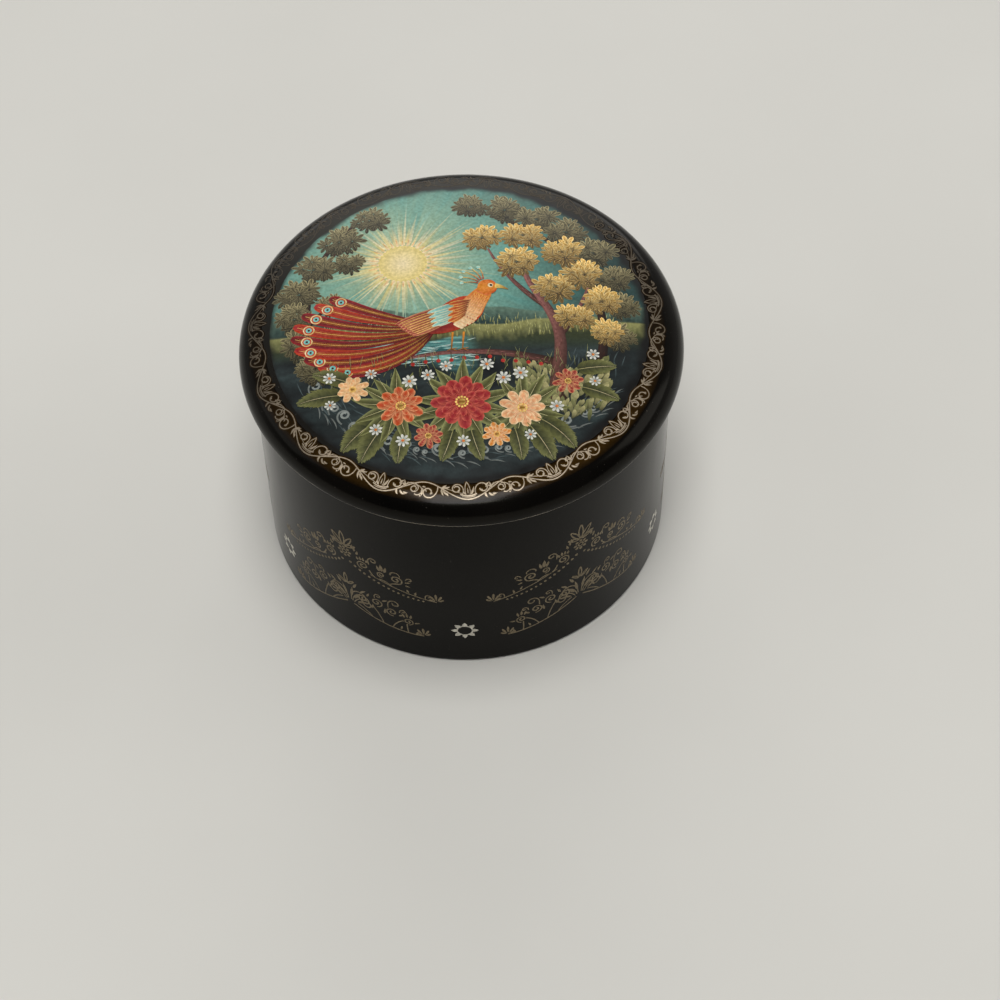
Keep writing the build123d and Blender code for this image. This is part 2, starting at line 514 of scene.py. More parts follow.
def brush_lines(start, heading, length, bend=0.0, curl=0.0, sway=0.0, points=20):
    """Centre lines of strokes, and their headings.

    A stroke leaves its start at a heading in degrees and runs for its length. On the way the heading turns
    by bend in step with the distance, by curl with the distance squared, and by sway in one wave.
    """
    start = np.atleast_2d(np.asarray(start, float))
    turns = [for_each(v, len(start))[:, None] for v in (heading, length, bend, curl, sway)]
    heading, length, bend, curl, sway = turns
    t = np.linspace(0, 1, points)[None]
    angle = np.radians(heading + bend * t + curl * t**2 + sway * np.sin(2 * np.pi * t))
    middle = (angle[:, 1:] + angle[:, :-1]) / 2
    run = np.stack([np.cos(middle), np.sin(middle)], -1) * (length / (points - 1))[..., None]
    line = start[:, None] + np.concatenate([np.zeros((len(start), 1, 2)), np.cumsum(run, 1)], 1)
    return line, angle


def left_of(angle):
    """Unit steps to the left of headings in radians."""
    return np.stack([-np.sin(angle), np.cos(angle)], -1)


class Brushwork:
    """Strokes of one motif: each a ribbon across its centre line, laid a hair above the stroke before."""

    hair = 0.0012 * mm  # height from one level of paint to the next
    drift = 0.07  # share by which tones differ from stroke to stroke
    finest = 0.02  # share of the half width that is left at a stroke's points

    def __init__(self, surface, level=1, seed=1, bead=0.0):
        self.surface, self.level, self.bead = surface, level, bead
        self.random = np.random.default_rng(seed)
        self.points, self.faces, self.colours, self.count = [], [], [], 0

    def chance(self, count=None):
        """Random shares between 0 and 1."""
        return self.random.random(count)

    def either(self, count):
        """Random shares to either side of 0, between -1 and 1."""
        return self.random.uniform(-1, 1, count)

    def vary(self, count, share):
        """Factors about 1 that differ from stroke to stroke by up to a share."""
        return 1 + share * self.either(count)

    def ribbon(self, line, angle, half_width, colours, stack=None):
        """Ribbons: points across each centre line, spaced by the half width to each side, on the surface.

        A stack, in levels for each stroke, puts some strokes of a set over others.
        """
        strokes, along, across = colours.shape[:3]
        v = np.linspace(-1, 1, across)
        flat = line[:, :, None] + left_of(angle)[:, :, None] * (half_width[..., None] * v)[..., None]
        lift = self.hair * (self.level + (np.arange(strokes) % 3 / 3 if stack is None else stack))
        lift = lift[:, None, None] + self.bead * (1 - v**2)
        self.points.append(self.surface(flat, np.broadcast_to(lift, flat.shape[:3])).reshape(-1, 3))
        quads = grid_faces(along, across, False, False)[:, ::-1]
        starts = self.count + along * across * np.arange(strokes)
        self.faces.append((starts[:, None, None] + quads).reshape(-1, 4))
        self.colours.append(colours.reshape(-1, 3))
        self.count += strokes * along * across
        self.level += 1

    def trace(self, line, angle, half_width, tone):
        """Ribbons of one half width and one tone, or of one for each point, with three points across."""
        half_width = np.broadcast_to(half_width, angle.shape)
        self.ribbon(line, angle, half_width, np.broadcast_to(tone, (*angle.shape, 3, 3)))

    def lay(self, start, heading, length, width, root, tip, edge=None, form=leaf, points=10, across=3,
            shade=None, stack=None, fade=1.0, **turn):
        """Strokes of a form and half width, coloured from root to tip and out to an edge colour."""
        line, angle = brush_lines(start, heading, length, points=points, **turn)
        count, t, v = len(line), np.linspace(0, 1, points), np.linspace(-1, 1, across)
        width = for_each(width, count)[:, None] * np.clip(form(t), self.finest, None)
        root, tip = [np.broadcast_to(c, (count, 3))[:, None, None] for c in (root, tip)]
        tones = np.broadcast_to(root + (tip - root) * t[:, None, None] ** fade, (count, points, across, 3))
        if edge is not None:
            rim = np.broadcast_to(edge, (count, 3))[:, None, None]
            tones = tones + (rim - tones) * (v**2 * (0.25 + 0.75 * t[:, None]))[None, ..., None]
        tones = tones * self.vary(count, self.drift)[:, None, None, None]
        if shade is not None:
            tones = tones * np.asarray(shade)[:, None]
        self.ribbon(line, angle, width, tones, stack)

    def scatter(self, start, heading, stray, length, more, width, root, tip, bend=0, **look):
        """Loose strokes that stray from a heading, run up to so much longer, and bend, each at random."""
        heading = heading + stray * self.either(len(start))
        length = length + more * self.chance(len(start))
        if bend:
            look["bend"] = bend * self.either(len(start))
        self.lay(start, heading, length, width, root, tip, **look)

    def lines(self, table, tone, spread=0.0, points=30):
        """Lines from rows of x, y, heading, length, bend, curl and half width, each wider by a spread."""
        heading, length, bend, curl, width = table[:, 2:].T
        self.lay(table[:, :2], heading, length, width + spread, tone, tone, form=line_form, points=points,
                 bend=bend, curl=curl)

    def leaves(self, table, tone, spread=0.0):
        """Leaves from rows of x, y, heading, length, bend and half width, each wider by a spread."""
        heading, length, bend, width = table[:, 2:].T
        self.lay(table[:, :2], heading, length, width + spread, tone, tone, points=9, bend=bend)

    def dots(self, centre, radius, middle, edge=None, points=10):
        """Round dabs of paint."""
        centre = np.atleast_2d(np.asarray(centre, float))
        radius = for_each(radius, len(centre))
        left = centre - np.stack([radius, 0 * radius], -1)
        self.lay(left, 0, 2 * radius, radius, middle, middle, edge, dab, points, 3)

    def loop(self, centre, radius, width, tone):
        """Closed round line about a centre."""
        a = np.linspace(0, 2 * np.pi, 33)[None]
        line = np.array(centre) + radius * np.stack([np.cos(a), np.sin(a)], -1)
        self.trace(line, a + np.pi / 2, width, tone)

    def piece(self, name, material, body, slot):
        """The strokes as one mesh piece that rides on a body. The slot is not used."""
        strokes = (self.points, self.faces, self.colours)
        points, faces, colours = [np.concatenate(part) for part in strokes]
        piece = new_mesh(name, points, faces, material, colours)
        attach(piece, body)


PAINTING_SHIFT = -0.65  # millimetres that the middle of the picture and its border lies left of the lid's
WALL_LEVEL = 2  # level of paint that the strokes on the wall start from
BEAD = 0.012 * mm  # height of a gold stroke's rounded middle above its sides
EIGHTHS = 45 * np.arange(8)  # degrees of eight even turns


def on_picture(plan, lift):
    """Picture plan in millimetres, put on the picture's ground and lifted off it."""
    x, y = (plan[..., 0] + PAINTING_SHIFT) * mm, plan[..., 1] * mm
    return np.stack([x, y, picture_height(np.hypot(x, y)) + lift], -1)


# Gold scroll border round the lid

BORDER_RADIUS = 30.9  # millimetres, middle of the border
BORDER_REPEATS = 15
BORDER_START = -88.5  # degrees, where one repeat has its outermost point
BORDER_FRONT = -82  # degrees, where the gold is brightest, without painted shade
BORDER_SWING = 1.3  # millimetres that the stem swings to each side
BORDER_STEM = 0.12  # millimetres, half the stem's width
# Painted shade: gold and glaze are darkened between two turns from the front, in degrees, by a share.
SIDE_SHADE = (25, 100, 0.7)
BACK_SHADE = (95, 130, 0.13)
GLAZE_REACH = 120  # degrees to each side of the front
GLAZE_ENDS = (1.01, 0.75)  # shares of the reach between which the glaze thins out to its ends
GLAZE_OUTSIDE, GLAZE_INSIDE = 0.9, 1.25  # millimetres; twice as far outside in front
BORDER_PITCH = 2 * np.pi * BORDER_RADIUS / BORDER_REPEATS

# One repeat in millimetres: x runs round the lid from the stem's outermost point, y runs inwards.
# Lines are x, y, heading, length, bend, curl, half width.
BORDER_LINES = np.array([
    (-0.90, -0.58, 62, 6.2, 205, 340, 0.125),  # spiral off the left end of the cup
    (1.02, -0.50, 100, 5.2, -130, -240, 0.125),  # comma off its right end
    (2.65, -0.35, 42, 6.9, 95, -620, 0.12),  # spiral under the crest
    (4.75, 0.55, 22, 3.3, -150, -90, 0.11),  # leafy arc beside it
    (8.40, 0.62, -86, 5.9, -110, -300, 0.125),  # hook off the far side of the crest
    (-4.15, 0.60, -8, 3.35, -38, 30, 0.085),  # second line of the split stem
    (-1.18, -0.52, -26, 2.45, 52, 0, 0.14),  # brim of the cup
    (-0.95, -0.86, -16, 1.95, 32, 0, 0.09),  # foot of the cup
    (-0.34, -0.62, 108, 2.2, -44, 0, 0.10),  # left side of the bud
    (0.22, -0.62, 78, 2.1, 44, 0, 0.10),  # right side of the bud
])
# Leaves are x, y, heading, length, bend, half width.
BORDER_LEAVES = np.array([
    (-4.00, 0.48, 14, 1.25, -18, 0.20),  # pair where the stem splits
    (-3.90, 0.45, 48, 0.85, -20, 0.18),
    (-3.35, 0.42, 30, 0.70, 0, 0.15),
    (-3.95, 0.45, -92, 1.30, 36, 0.20),
    (-3.70, 0.15, -62, 1.05, 20, 0.18),
    (-3.20, -0.25, -70, 0.65, 20, 0.15),
    (0.36, -0.60, 58, 1.40, 22, 0.20),  # leaves of the bud
    (-0.42, -0.60, 124, 0.85, -14, 0.15),
    (-0.04, -0.45, 94, 1.05, 0, 0.12),
    (2.60, 0.66, 34, 0.75, 10, 0.18),  # tip of the comma
    (2.55, 0.52, -10, 0.55, 20, 0.14),
    (3.50, 0.15, 98, 1.15, 16, 0.17),  # sprig on the rising stem
    (3.45, 0.30, 142, 0.65, -10, 0.14),
    (3.60, 0.42, 58, 0.65, 10, 0.14),
    (2.50, -0.46, -116, 0.95, 90, 0.18),  # lobes under the stem
    (2.95, -0.52, -80, 1.15, 100, 0.18),
    (3.45, -0.74, -34, 0.75, 60, 0.16),
    (6.15, 0.30, -82, 1.35, -20, 0.24),  # oval leaf between the spiral and the hook
    (6.05, 0.52, 4, 0.60, -30, 0.14),  # bumps of the leafy arc
    (6.50, 0.12, -40, 0.60, -30, 0.14),
])
# Ball ends are x, y, radius.
BORDER_BALLS = np.array([
    (-1.40, 0.08, 0.20),
    (1.98, 0.00, 0.21),
    (5.12, -0.42, 0.19),
    (7.55, -0.42, 0.21),
    (5.95, -1.00, 0.15),
])


def on_border(plan, lift):
    """Border plan in millimetres bent round the lid: x along the border's middle circle, y inwards."""
    a = radians(BORDER_START) + plan[..., 0] / BORDER_RADIUS
    r = (BORDER_RADIUS - plan[..., 1]) * mm
    x, y = r * np.cos(a) + PAINTING_SHIFT * mm, r * np.sin(a)
    return np.stack([x, y, lid_height(np.hypot(x, y)) + lift], -1)


def from_front(x):
    """Degrees from the border's front, between 0 and 180, at a distance round the border."""
    return np.abs((np.degrees(x / BORDER_RADIUS) + BORDER_START - BORDER_FRONT + 180) % 360 - 180)


def round_front(reach, points):
    """Distances round the border, evenly spaced over a reach in degrees to each side of its front."""
    return np.radians(BORDER_FRONT - BORDER_START + np.linspace(-reach, reach, points)) * BORDER_RADIUS


def painted_light_share(x):
    """Share of painted light on the gold round the border: full in front, painted shade to the sides and
    more behind.
    """
    turn = from_front(x)
    return 1 - sum(lost * ease(first, last, turn) for first, last, lost in (SIDE_SHADE, BACK_SHADE))


def all_round(table):
    """Rows of a table of the border, repeated along x all round the lid."""
    shift = np.zeros((BORDER_REPEATS, 1, table.shape[1]))
    shift[:, 0, 0] = BORDER_PITCH * np.arange(BORDER_REPEATS)
    return (table + shift).reshape(-1, table.shape[1])


def band(paint, x, low, high, tones):
    """One ribbon round the lid between a low and a high distance across it, with colours between them."""
    line = np.stack([x, (low + high) / 2 + 0 * x], -1)[None]
    angle = np.zeros((1, len(x)))
    paint.ribbon(line, angle, np.broadcast_to((high - low) / 2, angle.shape), tones[None])


def glaze_border():
    """Brown glaze under the border's front and sides, thickest in the middle, thinner to its edges."""
    paint = Brushwork(on_border, level=2)
    across = np.cos(np.linspace(-np.pi / 2, np.pi / 2, 41)) ** 0.7
    x = round_front(GLAZE_REACH, 561)
    full, ends = painted_light_share(x), ease(*np.multiply(GLAZE_ENDS, GLAZE_REACH), from_front(x))
    # The glaze's brown is its own colour, and painted shade darkens it away from the front.
    tones = mix(LACQUER_BLACK, BORDER_GLAZE, full[:, None] ** 1.4 * across)
    band(paint, x, -GLAZE_OUTSIDE * (1 + full) * ends, GLAZE_INSIDE * ends, tones)
    paint.piece("border_glaze", GLAZE, "lid", "lid_lacquer")


def gild_border(name, tone, material, spread, level, bead, reach):
    """The border's strokes: a stem in a cosine wave, with lines, leaves and balls, all wider by a spread.

    They run for a reach in degrees to each side of the border's front.
    """
    gold = Brushwork(on_border, level, seed=3, bead=bead)
    x = round_front(reach, 5 * reach + 1)
    swing = 2 * np.pi * x / BORDER_PITCH
    line = np.stack([x, -BORDER_SWING * np.cos(swing)], -1)[None]
    angle = np.arctan(BORDER_SWING * 2 * np.pi / BORDER_PITCH * np.sin(swing))[None]
    # Painted shade: the tone is darkened towards the sides and the back, where the gold catches less light.
    gold.trace(line, angle, BORDER_STEM + spread, (tone * painted_light_share(x)[:, None])[None, :, None])
    tables = [all_round(table) for table in (BORDER_LINES, BORDER_LEAVES, BORDER_BALLS)]
    tables = [table[from_front(table[:, 0]) <= reach] for table in tables]
    lines, leaves, balls = [(table, tone * painted_light_share(table[:, :1])) for table in tables]
    gold.lines(*lines, spread, points=34)
    gold.leaves(*leaves, spread)
    gold.dots(balls[0][:, :2], balls[0][:, 2] + spread, balls[1])
    gold.piece(name, material, "lid", "lid_lacquer")


HIGHLIGHT_REACH = 0.1  # millimetres along the round of the lid's lower edge, to each side of the painted highlight's middle
HIGHLIGHT_SLOPE = -21  # degrees on that round, from the lid's widest line to the painted highlight's middle


def on_lid_edge(plan, lift):
    """Painted highlight's plan in millimetres: x round the lid, y along the small round of its lower edge.
    """
    a = radians(BORDER_START) + plan[..., 0] / BORDER_RADIUS
    slope = radians(HIGHLIGHT_SLOPE) + plan[..., 1] * mm / EDGE_ROUND
    r = LID_RADIUS - EDGE_ROUND + (EDGE_ROUND + lift) * np.cos(slope)
    return np.stack([r * np.cos(a), r * np.sin(a), WIDEST_HEIGHT + (EDGE_ROUND + lift) * np.sin(slope)], -1)


def paint_edge_highlight():
    """Painted highlight: a pale line along the round of the lid's lower edge, stronger in some places than
    in others.
    """
    paint = Brushwork(on_lid_edge, level=2)
    x = round_front(180, 721)
    glint = mottle(np.linspace(0, 40, len(x)), np.zeros(len(x)), seed=51)
    tones = mix(LACQUER_BLACK, EDGE_HIGHLIGHT, np.broadcast_to(glint[:, None], (len(x), 9)))
    band(paint, x, -HIGHLIGHT_REACH, HIGHLIGHT_REACH, tones)
    paint.piece("lid_edge_highlight", PICTURE_PAINT, "lid", "lid_lacquer")


# Gold garlands round the wall

GARLAND_START = -92.2  # degrees, middle of the valley at the front
GARLAND_STEP = 67.5  # degrees from peak to peak; the peak at the back stands farther from its neighbours
# Peaks: degrees from the front valley, millimetres up or down, degrees of tilt. One was painted crooked.
GARLAND_PEAKS = np.array([
    (-1.5 * GARLAND_STEP, 0, 0),
    (-0.5 * GARLAND_STEP, -1.4, 5),
    (0.5 * GARLAND_STEP, 0, 0),
    (1.5 * GARLAND_STEP, 0, 0),
    (180, 0, 0),
])
STAR_PLACES = np.array([-140.6, -60.6, 0, 68.6, 140.6])  # degrees from the front valley
STAR_HEIGHT, UPPER_PEAK, LOWER_PEAK = 9.0, 23.1, 11.0  # millimetres above the foot
# A garland's rail to each side of its peak: millimetres that it runs out and falls, and how much it sweeps
UPPER_RAIL = (14.6, 6.3, 1.12)
LOWER_RAIL = (12.4, 4.2, 1.65)
PEARL_STEP, PEARL_RADIUS, PEARL_SAG = 0.78, 0.28, 0.8  # millimetres

# Half a garland in millimetres from its peak: x runs outwards, y up.
# Spirals are x, y, radius, first angle, turns, half width.
UPPER_SPIRALS = np.array([
    (3.10, -0.15, 1.10, -100, -1.55, 0.15),
    (6.15, -1.15, 0.76, -80, -1.40, 0.14),
    (8.60, -1.55, 1.12, -90, 1.50, 0.15),
])
LOWER_SPIRALS = np.array([
    (2.80, 2.30, 0.92, -100, -1.50, 0.14),
    (5.20, 2.60, 1.10, -90, 1.50, 0.14),
    (7.70, 1.10, 1.05, -80, -1.50, 0.14),
    (10.20, -0.70, 0.90, -90, 1.50, 0.13),
])
# Lines are x, y, heading, length, bend, curl, half width.
UPPER_LINES = np.array([
    (5.0, -2.3, 140, 1.7, -40, 0, 0.13),  # stems of the spirals
    (7.5, -3.4, 125, 2.1, 55, 0, 0.13),
    (7.2, -3.3, 45, 1.9, -45, 0, 0.13),
    (4.3, 0.7, 98, 4.4, 14, -400, 0.14),  # hook beside the inner one
    (9.3, -0.6, 75, 2.7, 200, 0, 0.13),  # arch over the outer one
    (10.2, -1.2, 70, 2.0, -40, -260, 0.115),
    (12.9, -5.6, 95, 2.4, 10, -330, 0.115),  # hook at the end
])
LOWER_LINES = np.array([
    (0.3, 0.6, 87, 7.6, -4, -330, 0.13),  # the bunch's stems, curled at the top
    (0.5, 0.4, 74, 7.4, 6, -340, 0.13),
    (0.8, 0.2, 58, 6.6, 18, -350, 0.13),
    (3.9, -1.8, 125, 3.2, 30, 0, 0.12),  # stems of the spirals
    (5.8, -2.7, 100, 4.4, 20, 0, 0.12),
    (7.3, -3.2, 70, 3.4, -40, 0, 0.12),
    (9.9, -3.9, 95, 2.5, -10, 0, 0.11),
    (5.0, 3.7, 92, 3.0, 0, -360, 0.12),  # hooks over them
    (7.2, 2.1, 92, 5.6, 6, -390, 0.13),
    (9.0, 1.4, 80, 2.4, -10, -330, 0.12),
])
# Leaves are x, y, heading, length, bend, half width.
UPPER_LEAVES = np.array([
    (2.45, 0.90, 115, 0.85, -14, 0.22),  # crest over the inner spiral
    (2.90, 1.02, 98, 0.95, -6, 0.22),
    (3.35, 1.02, 84, 0.95, 6, 0.22),
    (3.80, 0.85, 66, 0.85, 14, 0.21),
    (6.05, -0.25, 112, 1.5, -14, 0.25),  # bud over the middle one
    (6.40, -0.20, 90, 1.9, 0, 0.32),
    (6.80, -0.25, 68, 1.5, 14, 0.25),
    (10.00, -1.90, 22, 1.1, -20, 0.19),  # outer side
    (9.95, -2.60, -10, 0.9, -20, 0.17),
    (11.30, -4.95, 84, 1.0, -20, 0.18),
    (10.30, -4.40, 100, 0.9, 20, 0.18),
    (2.25, 2.10, 62, 1.1, 24, 0.22),  # beside the rosette
    (1.90, 2.75, 74, 1.3, 24, 0.22),
    (1.45, 3.40, 60, 1.1, 24, 0.20),
])
LOWER_LEAVES = np.array([
    (0.45, 1.6, 82, 2.8, -6, 0.27),  # in the bunch
    (1.00, 1.2, 62, 2.6, -12, 0.25),
    (1.50, 0.5, 34, 2.2, -18, 0.25),
    (1.20, 4.2, 66, 1.6, -12, 0.24),
    (2.40, 3.6, 48, 1.5, -14, 0.22),
    (3.60, 3.3, 70, 1.3, -14, 0.20),  # over the spirals
    (4.10, 0.5, 64, 1.4, 20, 0.21),
    (6.30, 3.4, 40, 1.2, -20, 0.20),
    (6.30, 0.2, 70, 1.5, 20, 0.21),
    (8.80, 0.4, 40, 1.2, -20, 0.20),
    (9.75, 0.3, 112, 1.2, -10, 0.19),
    (10.20, 0.4, 92, 1.4, 0, 0.20),
    (10.65, 0.2, 72, 1.2, 10, 0.19),
    (11.20, -1.0, 22, 1.0, -20, 0.18),
    (11.20, -4.1, 78, 1.1, -20, 0.18),
    (8.70, -3.3, 80, 1.1, -20, 0.18),
])


def on_wall(plan, lift):
    """Wall plan in millimetres wrapped round the body: x along the wall, y up it."""
    a = radians(GARLAND_START) + plan[..., 0] * mm / BODY_RADIUS
    r = BODY_RADIUS + lift
    return np.stack([r * np.cos(a), r * np.sin(a), plan[..., 1] * mm], -1)


def along_wall(angle, height):
    """Wall plan point at an angle from the front valley, in degrees, and a height."""
    return np.array([radians(angle) * BODY_RADIUS / mm, height])


def rail(x, reach, fall, sweep):
    """Height of a garland's rail from its peak: it falls fast at first and flattens towards its end."""
    return fall * ((1 - x / reach) ** sweep - 1)


class Garland(Brushwork):
    """Gold strokes drawn from one peak and repeated at every peak round the wall, on both sides or once."""

    def __init__(self, peak, level, sides):
        super().__init__(on_wall, level, seed=5, bead=BEAD)
        self.peak, self.sides = peak, sides

    def ribbon(self, line, angle, half_width, colours, stack=None):
        """The same ribbons at every peak, mirrored for its second side and turned by its tilt."""
        level = self.level
        for place, rise, tilt in GARLAND_PEAKS:
            foot, turn = along_wall(place, self.peak + rise), radians(tilt)
            lean = np.array([(cos(turn), sin(turn)), (-sin(turn), cos(turn))])
            for side in self.sides:
                self.level = level
                way = angle if side > 0 else np.pi - angle
                super().ribbon(line * (side, 1) @ lean + foot, way + turn, half_width, colours, stack)

    def spirals(self, table, points=44):
        """Spirals about their centres: the radius shrinks evenly to a seventh while the line turns."""
        x, y, radius, first, turns, width = table.T[..., None]
        t = np.linspace(0, 1, points)
        a = np.radians(first) + 2 * np.pi * turns * t
        reach = (radius * (1 - 0.86 * t))[..., None]
        line = np.stack([x, y], -1) + reach * np.stack([np.cos(a), np.sin(a)], -1)
        way = np.gradient(line, axis=1)
        self.trace(line, np.arctan2(way[..., 1], way[..., 0]), width * line_form(t), WALL_GOLD)

    def palmette(self, centre, blades, radius, width, spread):
        """Fan of blades, longest in the middle, that bend upwards."""
        a = np.linspace(90 - spread, 90 + spread, blades)
        length = radius * (0.6 + 0.4 * np.cos(np.radians(90 * (a - 90) / spread)))
        self.lay(polar(centre, 0.25, a), a, length, width, WALL_GOLD, WALL_GOLD, form=petal, points=12,
                 bend=(90 - a) * 0.3)

    def open_fan(self, centre, petals, length, spread, width=0.13):
        """Fan of open petals, longest in the middle, each of two lines that meet again at its tip."""
        a = np.repeat(np.linspace(90 - spread, 90 + spread, petals), 2)
        side = np.tile([1, -1], petals)
        reach = length * (0.65 + 0.35 * np.cos(np.radians(90 * (a - 90) / spread)))
        self.lay(polar(centre, 0.3, a), a + 26 * side, reach, width, WALL_GOLD, WALL_GOLD, form=even,
                 points=12, bend=-52 * side)

    def half(self, shape, spirals, lines, leaves, first, width):
        """Half a garland: rail, spirals, stems and hooks, leaves, and a fan of blades at its end."""
        reach, fall, _ = shape
        x = np.linspace(first, reach, 50)
        y = rail(x, *shape)
        angle = np.arctan2(np.gradient(y), np.gradient(x))[None]
        self.trace(np.stack([x, y], -1)[None], angle, width, WALL_GOLD)
        self.spirals(spirals)
        self.lines(lines, WALL_GOLD)
        self.leaves(leaves, WALL_GOLD)
        self.palmette((reach, 0.1 - fall), blades=5, radius=1.8, width=0.22, spread=70)


def gild_upper_garland():
    """Upper garland: halves with pearls under the rail, and a rosette and a fan of petals at the peak."""
    gold = Garland(UPPER_PEAK, WALL_LEVEL, sides=(1, -1))
    gold.half(UPPER_RAIL, UPPER_SPIRALS, UPPER_LINES, UPPER_LEAVES, first=4.2, width=0.1)
    reach = UPPER_RAIL[0]
    x = np.arange(0.75, reach - 1.8, PEARL_STEP)
    sag = PEARL_SAG * np.sin(np.pi * x / reach) + 0.35 * np.clip(x / 2, 0, 1)
    size = PEARL_RADIUS * (1 - 0.35 * x / reach)
    gold.dots(np.stack([x, rail(x, *UPPER_RAIL) - sag], -1), size, WALL_GOLD, points=8)
    gold.piece("upper_garland", GILDING, "body", "body_lacquer")
    head = Garland(UPPER_PEAK, level=10, sides=(1,))
    rosette = (0, 1.7)
    head.loop(rosette, 0.42, 0.12, WALL_GOLD)
    head.lay(polar(rosette, 0.64, EIGHTHS), EIGHTHS, 0.68, 0.27, WALL_GOLD, WALL_GOLD, form=dab)
    head.open_fan((0, 3.0), petals=5, length=3.6, spread=66)
    head.piece("upper_garland_heads", GILDING, "body", "body_lacquer")


def gild_lower_garland():
    """Lower garland: halves with a bunch of curled stems, and a bud on top of the bunch."""
    gold = Garland(LOWER_PEAK, WALL_LEVEL, sides=(1, -1))
    gold.half(LOWER_RAIL, LOWER_SPIRALS, LOWER_LINES, LOWER_LEAVES, first=0.6, width=0.13)
    gold.piece("lower_garland", GILDING, "body", "body_lacquer")
    head = Garland(LOWER_PEAK, level=14, sides=(1,))
    head.open_fan((0, 4.6), petals=3, length=2.7, spread=48)
    head.piece("lower_garland_heads", GILDING, "body", "body_lacquer")


def paint_stars():
    """Pale open stars low on the wall between the garlands: a ring with short points round it."""
    paint = Brushwork(on_wall, WALL_LEVEL, seed=6)
    for place in STAR_PLACES:
        paint.level = WALL_LEVEL
        centre = along_wall(place, STAR_HEIGHT)
        paint.loop(centre, 1.25, 0.12, STAR_PAINT)
        paint.lay(polar(centre, 1.1, EIGHTHS), EIGHTHS, 1.1, 0.42, STAR_PAINT, STAR_PAINT)
    paint.piece("wall_stars", PICTURE_PAINT, "body", "body_lacquer")


# The picture: a long-tailed bird on a branch, a gold-leaved tree, a low sun and a bank of flowers

SUN = np.array([-8.0, 12.5])
SUN_RADIUS = 3.9
PICTURE_EDGE = 29.2  # millimetres, where the picture has faded into the border's ground

# Levels of paint that the parts of the picture start from
SUN_LEVEL, LAND_LEVEL, THICKET_LEVEL, CLOUD_LEVEL, TREE_LEVEL, TAIL_LEVEL = 2, 4, 6, 7, 27, 42
FROND_LEVEL, GRASS_LEVEL, BREAST_LEVEL, LEAF_LEVEL, BLOOM_LEVEL, DAISY_LEVEL = 62, 64, 66, 68, 71, 84

# Limbs are x, y, heading, length, bend, sway, half width.
BRANCH = (15.4, -8.6, 160, 25.5, 34, 0, 0.75)
TREE_LIMBS = (
    (15.5, -3.5, 52, 11.5, 22, 0, 0.6),
    (14.2, 2.4, 140, 15.5, -30, 0, 0.55),
    BRANCH,
    (15.0, -16.5, 99, 28.5, 0, -18, 1.3),
)
THICKET_LIMBS = (
    (-20.0, -9.0, 118, 33, -72, 0, 0.9),
    (-22.9, 0.5, 62, 6, -30, 0, 0.45),
    (-22.3, 10.0, 48, 8, 20, 0, 0.4),
    (21.5, -9.0, 74, 38, 84, 0, 0.8),
)
# Clumps of leaves are x, y, size.
TREE_CLUMPS = (
    (20.3, 9.2, 1.0), (22.6, 3.6, 1.0), (17.0, 14.0, 1.05), (11.0, 17.8, 1.05), (4.6, 17.4, 0.95),
    (23.0, -2.8, 0.85), (15.6, 6.6, 1.05), (9.8, 12.0, 1.05), (18.2, 0.6, 0.95),
)
THICKET_CLUMPS = (
    (-24.2, 7.6, 1.1), (-22.0, 12.6, 1.1), (-18.0, 18.2, 1.15), (-24.9, 2.6, 1.0), (-23.6, -2.6, 1.1),
    (-19.2, 4.6, 0.85), (-21.6, -7.4, 1.0), (-13.2, 22.6, 1.0), (-16.4, 13.2, 0.8), (3.2, 24.6, 0.95),
    (8.4, 23.6, 1.05), (13.4, 21.4, 1.05), (18.0, 18.4, 1.1), (22.0, 13.8, 1.1), (24.8, 8.4, 1.0),
    (25.6, 2.6, 0.95), (24.6, -3.6, 0.9),
)
# Rows of cloud scrolls are x, y, size, turn, how many.
CLOUDS = (
    (14.0, -22.0, 1.7, 33, 5), (-14.5, -20.8, 1.7, -35, 5), (0.5, -25.2, 1.5, 0, 5),
    (21.5, -16.5, 1.4, 52, 4), (-21.0, -14.5, 1.5, -55, 4), (-6.5, -24.2, 1.1, -15, 3),
    (7.5, -24.4, 1.1, 17, 3),
)
# Fern fronds are x, y, heading, length, bend.
FRONDS = (
    (-11.5, -17.5, 208, 8.4, 28), (-10.5, -18.0, 228, 8.5, 20), (-8.0, -19.0, 250, 6.8, 15),
    (-17.0, -13.0, 175, 7.5, 24), (-16.0, -11.0, 150, 6.5, 18), (11.5, -18.5, -30, 7.8, -30),
    (10.0, -19.5, -52, 7.5, -18), (8.0, -20.0, -75, 6.0, -12), (1.5, -20.0, -80, 6.0, 10),
    (-1.0, -20.0, -104, 6.0, -10), (18.0, -13.0, -12, 6.5, -20), (17.5, -10.0, 14, 6.5, -14),
)
# Fans of leaves are x, y, how many, heading of the middle, spread, length.
LEAF_FANS = (
    (0.5, -15.8, 15, 90, 360, 7.2),
    (-9.5, -15.5, 11, 200, 280, 6.0),
    (9.5, -17.0, 11, -20, 280, 6.0),
)
# Blooms are x, y, radius, three colours from the root to the rim of a petal, petals, rows.
BLOOMS = (
    (-8.8, -15.6, 3.4, MAROON, ORANGE_RED, PEACH, 9, 4),
    (9.4, -16.8, 3.3, ORANGE_RED, PEACH, CREAM, 9, 4),
    (0.4, -15.4, 4.4, WINE, CRIMSON, colour(214, 108, 88), 11, 5),
    (-16.0, -12.0, 2.4, ORANGE, PEACH, CREAM, 8, 3),
    (16.5, -12.0, 2.2, WINE, CRIMSON, PEACH, 8, 3),
    (5.4, -21.4, 2.1, ORANGE_RED, ORANGE, CREAM, 8, 3),
    (-4.8, -21.2, 2.1, MAROON, CRIMSON, PEACH, 8, 3),
)
